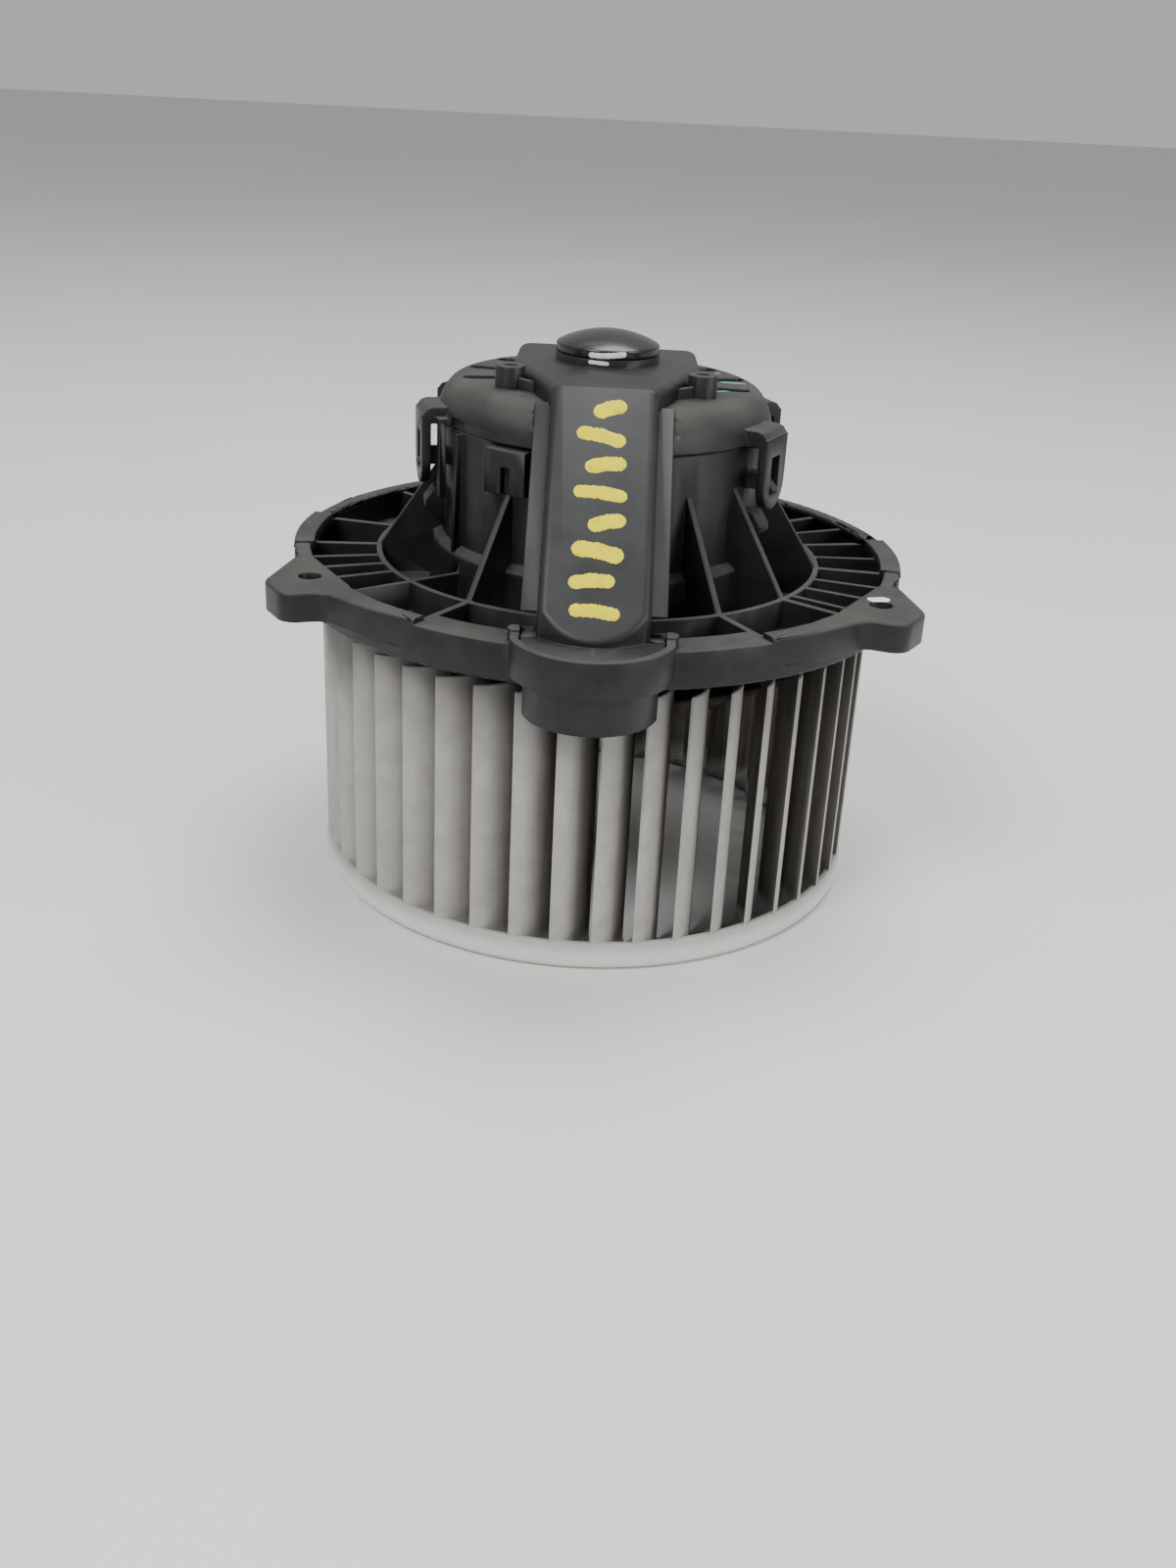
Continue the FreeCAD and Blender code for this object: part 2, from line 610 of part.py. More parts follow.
def armature_winding():
    z0, z1 = CORE_Z
    ends = [turned([(9, a, 1.5), (22, a, 2.5), (22, b, 2.5), (9, b, 1.5)])
            for a, b in ((z0 - 6, z0), (z1, z1 + 6))]
    bars = [at_angle(post(0, -17.5, 3.7, z0 - 1, z1 + 1), i * 360 / SLOTS) for i in range(SLOTS)]
    return joined(ends + bars)


def commutator():
    z0, z1 = COMMUTATOR_Z
    body = ring(5.5, COMMUTATOR_R, z0, z1)
    gap = block(-0.3, 0.3, -COMMUTATOR_R - 4, -COMMUTATOR_R + 1.2, z0 - 1, z1 + 1)
    hook = block(-0.8, 0.8, -COMMUTATOR_R - 1.6, -COMMUTATOR_R + 0.5, z0, z0 + 1.2)
    gaps = [at_angle(gap, i * 360 / SLOTS) for i in range(SLOTS)]
    hooks = [at_angle(hook, (i + 0.5) * 360 / SLOTS) for i in range(SLOTS)]
    return joined([body.cut(gaps)] + hooks)


# ---------------------------------------------------------------- wheel

def blade():
    """Curved blade from its tip at the front, leaning inwards towards growing angles."""
    lean = math.radians(BLADE_LEAN)
    tip = V(0, -WHEEL_R + 0.2, 0)
    along = V(math.sin(lean), math.cos(lean), 0)
    across = V(math.cos(lean), -math.sin(lean), 0)
    half = BLADE_WIDTH / 2
    lines = []
    for offset in (-half, half):
        start = tip + across * offset
        middle = tip + along * (BLADE_CHORD / 2) + across * (BLADE_BOW + offset)
        stop = tip + along * BLADE_CHORD + across * offset
        lines.append((start, middle, stop))
    (a0, a1, a2), (b0, b1, b2) = lines
    edges = [Part.Arc(a0, a1, a2).toShape(), Part.makeLine(a2, b2), Part.Arc(b2, b1, b0).toShape(),
             Part.makeLine(b0, a0)]
    solid = Part.Face(Part.Wire(edges)).extrude(V(0, 0, BLADE_TOP - WHEEL_RING_TOP))
    solid.translate(V(0, 0, WHEEL_RING_TOP))
    return solid


def wheel_ring():
    """Ring that joins the blades' lower ends; with the hub and blades it is one moulding."""
    return turned([(HUB_RIM_R, WHEEL_BOTTOM, 0.8), (WHEEL_RING_R, WHEEL_BOTTOM, 2.2),
                   (WHEEL_RING_R - 0.3, WHEEL_BAND_TOP, 0.6), (WHEEL_RING_R - 2.4, WHEEL_BAND_TOP, 0.6),
                   (WHEEL_RING_R - 2.6, WHEEL_RING_TOP), (HUB_RIM_R, WHEEL_RING_TOP, 0.8)])


def wheel_hub():
    """Dished disc, whose rim carries the blades, with six webs under it."""
    dish = [(SHAFT_R, HUB_Z[1]), (12, HUB_Z[1]), (15, -34), (40, -29.5, 3), (48, -16, 4), (HUB_RIM_R, -14),
            (HUB_RIM_R, -16), (49, -18, 4), (41.2, -31.6, 3), (HUB_R + 4, -37), (HUB_R, -38),
            (HUB_R - 0.5, HUB_Z[0], 0.5), (SHAFT_R, HUB_Z[0])]
    ribs = [radial([(HUB_R - 1, -37), (38, -31.8), (HUB_R - 1, -46)], 1.8, a) for a in range(0, 360, 60)]
    return joined([turned(dish)] + ribs)


def wheel_blades():
    """The blades, cut where they run into the ring and the hub's rim."""
    first = blade().cut([wheel_ring(), wheel_hub()])
    pitch = 360 / BLADE_COUNT
    return Part.makeCompound([at_angle(first, BLADE_FIRST + i * pitch) for i in range(BLADE_COUNT)])


def balance_clip():
    """Steel clip pushed over one of the ribs under the hub."""
    clip = block(-1.7, 1.7, -20, -15, -44.5, -38.2)
    return clip.cut(radial([(HUB_R - 1, -36), (39, -30.8), (40, -31.8), (HUB_R - 1, -46)], 1.8, 0))


def hub_clip():
    """Push-on nut under the hub, with a dished rim."""
    return turned([(SHAFT_R, -48.9), (6.5, -48.9), (7, -48.5), (7, -48), (SHAFT_R, -48)])


# ---------------------------------------------------------------- fixings, rubber and wiring

def upper_rubber_mount():
    pads = [sector(33, CUP_R - CUP_WALL, 24, 30, a - 7, a + 7) for a in range(30, 360, 60)]
    return joined([ring(CAN_R, 33.3, 24, 30)] + pads)


def motor_screw(angle):
    shank = post(0, -22, 1.5, BASKET_BOTTOM, CAN_BOTTOM + 3)
    head = post(0, -22, 3.2, BASKET_BOTTOM - 1.8, BASKET_BOTTOM)
    recess = [block(-1.6, 1.6, -22.4, -21.6, BASKET_BOTTOM - 2, BASKET_BOTTOM - 0.8),
              block(-0.4, 0.4, -23.6, -20.4, BASKET_BOTTOM - 2, BASKET_BOTTOM - 0.8)]
    return at_angle(joined([shank, head]).cut(recess), angle)


def power_socket():
    """Upright socket for a two-pole plug, open at the top."""
    y0, y1 = SOCKET_Y
    z0, z1 = SOCKET_Z
    x = SOCKET_HALF_X
    shell = prism([(-x, y0, 1.5), (x, y0, 1.5), (x, y1, 1.5), (-x, y1, 1.5)], z0, z1)
    cavity = prism([(2 - x, y0 + 2, 0.8), (x - 2, y0 + 2, 0.8), (x - 2, y1 - 2, 0.8), (2 - x, y1 - 2, 0.8)],
                   z0 + 5, z1 + 1)
    latch = block(-2.5, 2.5, y1 - 0.5, y1 + 1.2, z1 - 6, z1 - 3)
    slots = [terminal_blade(side) for side in (-1, 1)]
    return joined([shell.cut(cavity), latch]).cut(slots)


def terminal_blade(side):
    """Flat contact with a foot that reaches forward to its lead."""
    x = side * BLADE_SPACING
    y = sum(SOCKET_Y) / 2
    upright = block(x - 0.4, x + 0.4, y - 3, y + 3, SOCKET_Z[0] + 2, 21)
    foot = block(x - 0.4, x + 0.4, SOCKET_Y[0], y, SOCKET_Z[0] + 2, SOCKET_Z[0] + 4)
    return upright.fuse(foot).removeSplitter()


def motor_lead(side):
    """Round lead: from the blade's foot up to the cup, through its wall and over the brush plate."""
    x = side * BLADE_SPACING
    foot_z = SOCKET_Z[0] + 3
    points = [V(x, SOCKET_Y[0], foot_z), V(x, 48.9, foot_z), V(x, 48.9, 18), V(x, 34.2, 18),
              V(x, 34.2, 40), V(x, 22, 40), V(x, 22, CAN_TOP + PLATE_THICK)]
    bend = 1.5
    edges = []
    start = points[0]
    for before, corner, after in zip(points, points[1:], points[2:]):
        back = (before - corner).normalize()
        ahead = (after - corner).normalize()
        arc_start = corner + back * bend
        arc_stop = corner + ahead * bend
        middle = corner + (back + ahead) * (bend * (1 - math.sqrt(0.5)))
        edges += [Part.makeLine(start, arc_start), Part.Arc(arc_start, middle, arc_stop).toShape()]
        start = arc_stop
    edges.append(Part.makeLine(start, points[-1]))
    section = Part.Wire(Part.makeCircle(LEAD_R, points[0], V(0, 1, 0)))
    return Part.Wire(edges).makePipeShell([section], True, True)


def suppression_choke(side):
    """Wound ferrite rod lying on the brush plate."""
    z = CAN_TOP + PLATE_THICK + 3
    rod = Part.makeCylinder(1.6, 16, V(side * 14.5, -8, z), V(0, 1, 0))
    coil = Part.makeCylinder(3, 11, V(side * 14.5, -5.5, z), V(0, 1, 0))
    return rod.fuse(coil).removeSplitter()


# ---------------------------------------------------------------- export

SIDES = (-1, 1)
NODES = {
    "motor_holder": lambda: motor_holder(),
    "motor_cover": lambda: motor_cover(),
    "cooling_duct": lambda: cooling_duct(),
    "top_cap": lambda: top_cap(),
    "motor_can": lambda: motor_can(),
    "field_magnets": lambda: Part.makeCompound(field_magnets()),
    "magnet_springs": lambda: Part.makeCompound(magnet_springs()),
    "brush_plate": lambda: brush_plate(),
    "brush_holders": lambda: Part.makeCompound([brush_holder(s) for s in SIDES]),
    "brush_springs": lambda: Part.makeCompound([brush_spring(s) for s in SIDES]),
    "brush_left": lambda: brush(-1),
    "brush_right": lambda: brush(1),
    "rear_bearing": lambda: bearing(REAR_BEARING_Z),
    "front_bearing": lambda: bearing(FRONT_BEARING_Z),
    "rear_bearing_retainer": lambda: ring(4, 10.5, 46, 46.8),
    "front_bearing_retainer": lambda: ring(6.8, 12, CAN_BOTTOM + CAN_WALL, CAN_BOTTOM + CAN_WALL + 0.8),
    "lower_rubber_mount": lambda: ring(25, 30, BASKET_BOTTOM + BASKET_WALL, CAN_BOTTOM),
    "upper_rubber_mount": lambda: upper_rubber_mount(),
    "motor_screws": lambda: Part.makeCompound([motor_screw(a) for a in (60, 180, 300)]),
    "power_socket": lambda: power_socket(),
    "terminal_blades": lambda: Part.makeCompound([terminal_blade(s) for s in SIDES]),
    "motor_leads": lambda: Part.makeCompound([motor_lead(s) for s in SIDES]),
    "suppression_chokes": lambda: Part.makeCompound([suppression_choke(s) for s in SIDES]),
    "shaft": lambda: Part.makeCylinder(SHAFT_R, SHAFT_TOP - SHAFT_BOTTOM, V(0, 0, SHAFT_BOTTOM)),
    "armature_core": lambda: armature_core(),
    "armature_winding": lambda: armature_winding(),
    "commutator": lambda: commutator(),
    "commutator_core": lambda: ring(SHAFT_R, 5.5, COMMUTATOR_Z[0] - 1, COMMUTATOR_Z[1]),
    "thrust_washers": lambda: Part.makeCompound([ring(SHAFT_R, 5.3, -19.2, -18.6),
                                                 ring(SHAFT_R, 4.4, 38.8, 39.4)]),
    "fan_wheel_ring": lambda: wheel_ring(),
    "fan_wheel_hub": lambda: wheel_hub(),
    "fan_wheel_blades": lambda: wheel_blades(),
    "fan_hub_clip": lambda: hub_clip(),
    "balance_clip": lambda: balance_clip(),
}

os.makedirs("parts", exist_ok=True)
for node, make in NODES.items():
    save(node, make())
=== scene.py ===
"""Looks of a car's cabin blower: a ribbed motor holder with a cooling duct, over a squirrel-cage wheel.

Metres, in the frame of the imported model: +Z up the shaft, the duct towards -Y, and the
origin on the shaft axis at the flange's mounting plane. Lathe outlines, the hub's webs and
the paths of the paint strokes are in millimetres.
"""
import math
import random

import bmesh
import bpy
from mathutils import Matrix, Vector
from mathutils.bvhtree import BVHTree


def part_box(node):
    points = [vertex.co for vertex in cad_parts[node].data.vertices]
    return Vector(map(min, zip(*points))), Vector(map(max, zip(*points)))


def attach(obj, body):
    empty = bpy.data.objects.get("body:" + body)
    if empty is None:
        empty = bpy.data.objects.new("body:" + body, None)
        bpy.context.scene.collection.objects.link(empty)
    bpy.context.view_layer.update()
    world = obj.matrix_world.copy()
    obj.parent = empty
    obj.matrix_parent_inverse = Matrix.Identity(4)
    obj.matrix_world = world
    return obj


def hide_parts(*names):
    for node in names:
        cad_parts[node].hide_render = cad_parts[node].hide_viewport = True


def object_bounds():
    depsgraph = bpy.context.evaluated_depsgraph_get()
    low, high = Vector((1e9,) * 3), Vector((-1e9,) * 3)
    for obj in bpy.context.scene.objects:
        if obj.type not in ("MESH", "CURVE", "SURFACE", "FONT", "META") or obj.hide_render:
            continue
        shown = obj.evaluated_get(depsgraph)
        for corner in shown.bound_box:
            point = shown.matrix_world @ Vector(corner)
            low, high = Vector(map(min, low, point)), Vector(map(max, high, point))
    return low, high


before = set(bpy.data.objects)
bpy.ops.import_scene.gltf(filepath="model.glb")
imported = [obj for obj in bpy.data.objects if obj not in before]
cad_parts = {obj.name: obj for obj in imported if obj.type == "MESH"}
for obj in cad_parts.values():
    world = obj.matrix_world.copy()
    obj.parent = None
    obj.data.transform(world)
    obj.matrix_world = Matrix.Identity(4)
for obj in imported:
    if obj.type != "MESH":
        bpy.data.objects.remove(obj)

bl_info = {
    "name": "Cabin Blower",
    "version": (1, 0, 0),
    "blender": (4, 5, 0),
    "location": "View3D > Sidebar > Blower",
    "description": "Builds the looks of a cabin blower: mouldings, fan wheel, motor, wiring and paint marks",
    "category": "Object",
}

MM = 0.001
CAD_BOX = [list(corner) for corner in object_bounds()]
WHEEL_LOW, WHEEL_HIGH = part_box("fan_wheel_ring")
BLADE_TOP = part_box("fan_wheel_blades")[1].z
CAP_LOW, CAP_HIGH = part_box("top_cap")
FLOOR_Z = CAD_BOX[0][2]
NO_LENGTH = 1e-9

# Cleaning of a CAD node's mesh before its edges are rolled.
SAME_POINT = 0.002 * MM
SLIVER = 0.01 * MM
LEVEL = math.radians(0.2)

# An edge sharper than SHARP_EDGE is rolled where its faces leave room. An edge that meets it
# at more than SIDE_ON lends a share of its length, less if that edge is rolled as well. An edge
# with room for less than LEAST_SHARE of the width stays, and a point that ends up further from
# the solid than STRAY widths is put back.
SHARP_EDGE = math.radians(32)
SIDE_ON = math.radians(25)
SHARE_BESIDE_ROLLED = 0.42
SHARE_BESIDE_PLAIN = 0.85
LEAST_SHARE = 0.3
STRAY = 1.2

# A paint stroke is laid in steps along its path, with so many lanes on each side of the path. Each
# point starts DROP_START back from the path and is dropped on to what it meets within DROP_REACH.
# Lengths in millimetres.
STROKE_STEP = 0.35
STROKE_LANES = 4
DROP_START = 12
DROP_REACH = 30


# ---------------------------------------------------------------- settings

def size(label, default, low=0.0, high=1.0):
    return bpy.props.FloatProperty(name=label, description=label, default=default, min=low, max=high,
                                   unit="LENGTH", precision=5)


def share(label, default):
    return bpy.props.FloatProperty(name=label, description=label, default=default, min=0.0, max=1.0,
                                   subtype="FACTOR")


def colour(label, default):
    return bpy.props.FloatVectorProperty(name=label, description=label, default=default, size=3,
                                         min=0.0, max=1.0, subtype="COLOR")


def angle(label, meaning, default):
    return bpy.props.FloatProperty(name=label, description=meaning, default=default, subtype="ANGLE")


class BlowerHousingSettings(bpy.types.PropertyGroup):
    """Finish of the black mouldings."""
    edge_radius: size("Rounding of moulded edges", 0.00030, 0.00005, 0.002)
    plastic: colour("Black of the mouldings", (0.0060, 0.0068, 0.0085))
    dust: colour("Dust on faces that look up", (0.088, 0.085, 0.074))
    dusty: share("Cover of the dust", 0.75)
    duct_dusty: share("Cover of the dust on the duct", 0.22)
    cap: colour("Black of the cap", (0.007, 0.007, 0.008))


class BlowerWheelSettings(bpy.types.PropertyGroup):
    """Shape and finish of the squirrel-cage wheel."""
    blades: bpy.props.IntProperty(name="Blades", description="Number of blades round the wheel",
                                  default=44, min=8)
    first: angle("First blade", "Angle of the first tip from the front", math.radians(2.7))
    lean: angle("Lean", "Angle of a blade's chord from the radius", math.radians(33))
    chord: size("Chord of a blade", 0.0163)
    bow: size("Bow of a blade off its chord", 0.0020)
    thickness: size("Thickness of a blade", 0.00125)
    plastic: colour("Grey of the wheel", (0.40, 0.385, 0.36))
    rim: colour("Rubbed clean rim", (0.70, 0.68, 0.64))
    # Brown for stains and for painted shade deep between the blades.
    grime_and_shade: colour("Brown grime between the blades", (0.060, 0.048, 0.036))


class BlowerPaintSettings(bpy.types.PropertyGroup):
    """Marks that a workshop's paint pens left."""
    yellow: colour("Yellow paint", (0.72, 0.62, 0.0))
    white: colour("White paint", (0.78, 0.78, 0.75))
    green: colour("Green paint", (0.10, 0.42, 0.20))
    film: size("Thickness of the paint", 0.00012, 0.00002, 0.001)


class BlowerStageSettings(bpy.types.PropertyGroup):
    """Floor, light and camera."""
    floor: colour("Floor", (0.72, 0.71, 0.69))
    camera_place: bpy.props.FloatVectorProperty(name="Camera", description="Place of the camera",
                                                default=(0.0006, -0.4320, 0.1335), subtype="TRANSLATION")
    pitch: angle("Pitch", "How far the camera looks down", 0.435)
    roll: angle("Roll", "Turn of the camera about its own axis", 0.051)


# ---------------------------------------------------------------- meshes

def add_piece(name, mesh):
    piece = bpy.data.objects.new(name, mesh)
    bpy.context.scene.collection.objects.link(piece)
    return piece


def settle(piece):
    """Makes the piece's modifiers part of its mesh."""
    bpy.context.view_layer.update()
    shape = piece.evaluated_get(bpy.context.evaluated_depsgraph_get())
    mesh = bpy.data.meshes.new_from_object(shape)
    piece.modifiers.clear()
    piece.data = mesh
    mesh.name = piece.name
    return piece


def smooth(mesh, crisp=35):
    """Smooth shading, with edges sharper than so many degrees kept crisp."""
    mesh.shade_smooth()
    mesh.set_sharp_from_angle(angle=math.radians(crisp))


def mesh_from(name, points, faces):
    mesh = bpy.data.meshes.new(name)
    mesh.from_pydata([tuple(p) for p in points], [], faces)
    mesh.validate()
    return mesh


def surface_of(pieces):
    """Search tree over the faces of some pieces."""
    points, faces = [], []
    for piece in pieces:
        offset = len(points)
        points += [v.co.copy() for v in piece.data.vertices]
        faces += [[offset + i for i in p.vertices] for p in piece.data.polygons]
    return BVHTree.FromPolygons(points, faces)


def pull_back(mesh, surface, limit):
    """Puts points that the rolling threw clear of the solid back on its nearest face."""
    for vertex in mesh.vertices:
        place, _, _, gap = surface.find_nearest(vertex.co)
        if gap > limit:
            vertex.co = place


def roll_room(edge, width):
    """Share of the rolling width that an edge's own faces have room for; zero for an edge that stays."""
    if len(edge.link_faces) != 2 or edge.calc_face_angle(0) < SHARP_EDGE:
        return 0.0
    room = width
    run = edge.verts[1].co - edge.verts[0].co
    for loop in edge.link_loops:
        for near in (loop.link_loop_prev.edge, loop.link_loop_next.edge):
            other = near.verts[1].co - near.verts[0].co
            if near.calc_length() < NO_LENGTH or edge.calc_length() < NO_LENGTH:
                return 0.0
            turn = run.angle(other)
            if min(turn, math.pi - turn) > SIDE_ON:
                rolled = len(near.link_faces) == 2 and near.calc_face_angle(0) >= SHARP_EDGE
                lent = SHARE_BESIDE_ROLLED if rolled else SHARE_BESIDE_PLAIN
                room = min(room, near.calc_length() * lent)
    return room / width if room > LEAST_SHARE * width else 0.0


def rounded_copy(node, name, width):
    """Copy of a CAD node with its sharp edges rolled over; the rolled faces get material 1."""
    work = bmesh.new()
    work.from_mesh(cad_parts[node].data)
    bmesh.ops.remove_doubles(work, verts=work.verts, dist=SAME_POINT)
    bmesh.ops.dissolve_limit(work, angle_limit=LEVEL, verts=work.verts, edges=work.edges)
    bmesh.ops.dissolve_degenerate(work, dist=SLIVER, edges=work.edges)
    for face in work.faces:
        face.material_index = 0
        face.smooth = True
    weights = work.edges.layers.float.new("bevel_weight_edge")
    for edge in work.edges:
        edge[weights] = roll_room(edge, width)
    mesh = bpy.data.meshes.new(name)
    work.to_mesh(mesh)
    work.free()
    piece = add_piece(name, mesh)
    mesh.materials.append(None)
    mesh.materials.append(None)
    bevel = piece.modifiers.new("Edges", "BEVEL")
    bevel.width = width
    bevel.segments = 2
    bevel.limit_method = "WEIGHT"
    bevel.use_clamp_overlap = False
    bevel.harden_normals = True
    bevel.material = 1
    settle(piece)
    pull_back(piece.data, surface_of([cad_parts[node]]), STRAY * width)
    return piece


def rounded_line(corners, steps):
    """Points of a closed outline of (r, z, radius) corners, with each corner's arc as short runs."""
    line = []
    count = len(corners)
    for i, (r, z, radius) in enumerate(corners):
        here = Vector((r, z))
        if radius == 0:
            line.append(here)
            continue
        back = (Vector(corners[i - 1][:2]) - here).normalized()
        ahead = (Vector(corners[(i + 1) % count][:2]) - here).normalized()
        half = back.angle(ahead) / 2
        centre = here + (back + ahead).normalized() * radius / math.sin(half)
        start = here + back * radius / math.tan(half)
        sweep = (math.pi - 2 * half) * (-1 if back.cross(ahead) > 0 else 1)
        for k in range(steps + 1):
            turn = Matrix.Rotation(sweep * k / steps, 2)
            line.append(centre + turn @ (start - centre))
    return line


def lathe(name, corners, steps, arc_steps=5):
    """Closed solid of revolution about Z from (r, z, radius) corners in millimetres."""
    line = rounded_line(corners, arc_steps)
    points = []
    rings = []
    for r, z in line:
        if r < 1e-6:
            rings.append([len(points)])
            points.append((0, 0, z * MM))
            continue
        rings.append([len(points) + k for k in range(steps)])
        for k in range(steps):
            a = 2 * math.pi * k / steps
            points.append((r * MM * math.sin(a), -r * MM * math.cos(a), z * MM))
    faces = []
    for i, ring in enumerate(rings):
        following = rings[(i + 1) % len(rings)]
        for k in range(steps):
            a, b = ring[k % len(ring)], ring[(k + 1) % len(ring)]
            c, d = following[(k + 1) % len(following)], following[k % len(following)]
            face = list(dict.fromkeys((a, b, c, d)))
            if len(face) > 2:
                faces.append(face)
    mesh = mesh_from(name, points, faces)
    face_outwards(mesh)
    smooth(mesh)
    return mesh


def face_outwards(mesh):
    work = bmesh.new()
    work.from_mesh(mesh)
    bmesh.ops.remove_doubles(work, verts=work.verts, dist=0.001 * MM)
    bmesh.ops.recalc_face_normals(work, faces=work.faces)
    work.to_mesh(mesh)
    work.free()


def merge(name, pieces):
    """One object from several; the parts' objects are removed."""
    work = bmesh.new()
    for piece in pieces:
        work.from_mesh(piece.data)
    mesh = bpy.data.meshes.new(name)
    work.to_mesh(mesh)
    work.free()
    for slot in pieces[0].data.materials:
        mesh.materials.append(slot)
    for piece in pieces:
        bpy.data.objects.remove(piece)
    smooth(mesh)
    return add_piece(name, mesh)


# ---------------------------------------------------------------- copies round the shaft

def polar_tree():
    """Geometry Nodes tree that sets copies of one part round the shaft."""
    tree = bpy.data.node_groups.new("Copies Round The Shaft", "GeometryNodeTree")
    face = tree.interface
    face.new_socket("Geometry", in_out="INPUT", socket_type="NodeSocketGeometry")
    face.new_socket("Part", in_out="INPUT", socket_type="NodeSocketObject")
    face.new_socket("Copies", in_out="INPUT", socket_type="NodeSocketInt")
    face.new_socket("First Angle", in_out="INPUT", socket_type="NodeSocketFloat")
    face.new_socket("Finish", in_out="INPUT", socket_type="NodeSocketMaterial")
    face.new_socket("Geometry", in_out="OUTPUT", socket_type="NodeSocketGeometry")
    add, link = tree.nodes.new, tree.links.new
    given, result = add("NodeGroupInput"), add("NodeGroupOutput")
    places = add("GeometryNodeMeshLine")
    places.inputs["Offset"].default_value = (0, 0, 0)
    part = add("GeometryNodeObjectInfo")
    index = add("GeometryNodeInputIndex")
    step = add("ShaderNodeMath")
    step.operation = "DIVIDE"
    step.inputs[0].default_value = 2 * math.pi
    turn = add("ShaderNodeMath")
    turn.operation = "MULTIPLY_ADD"
    spin = add("ShaderNodeCombineXYZ")
    copies = add("GeometryNodeInstanceOnPoints")
    real = add("GeometryNodeRealizeInstances")
    finish = add("GeometryNodeSetMaterial")
    link(given.outputs["Copies"], places.inputs["Count"])
    link(given.outputs["Part"], part.inputs["Object"])
    link(given.outputs["Copies"], step.inputs[1])
    link(index.outputs[0], turn.inputs[0])
    link(step.outputs[0], turn.inputs[1])
    link(given.outputs["First Angle"], turn.inputs[2])
    link(turn.outputs[0], spin.inputs["Z"])
    link(places.outputs["Mesh"], copies.inputs["Points"])
    link(part.outputs["Geometry"], copies.inputs["Instance"])
    link(spin.outputs[0], copies.inputs["Rotation"])
    link(copies.outputs[0], real.inputs[0])
    link(real.outputs[0], finish.inputs["Geometry"])
    link(given.outputs["Finish"], finish.inputs["Material"])
    link(finish.outputs[0], result.inputs[0])
    return tree


def round_the_shaft(name, part_mesh, copies, first=0.0, finish=None):
    """Copies of a part's mesh at even angles about Z, as one plain mesh."""
    tree = bpy.data.node_groups.get("Copies Round The Shaft") or polar_tree()
    part = add_piece(name + "_part", part_mesh)
    piece = add_piece(name, bpy.data.meshes.new(name))
    nodes = piece.modifiers.new("Copies", "NODES")
    nodes.node_group = tree
    values = {"Part": part, "Copies": copies, "First Angle": first, "Finish": finish}
    for socket in tree.interface.items_tree:
        if socket.in_out == "INPUT" and socket.name in values:
            nodes[socket.identifier] = values[socket.name]
    settle(piece)
    bpy.data.objects.remove(part)
    return piece


# ---------------------------------------------------------------- finishes

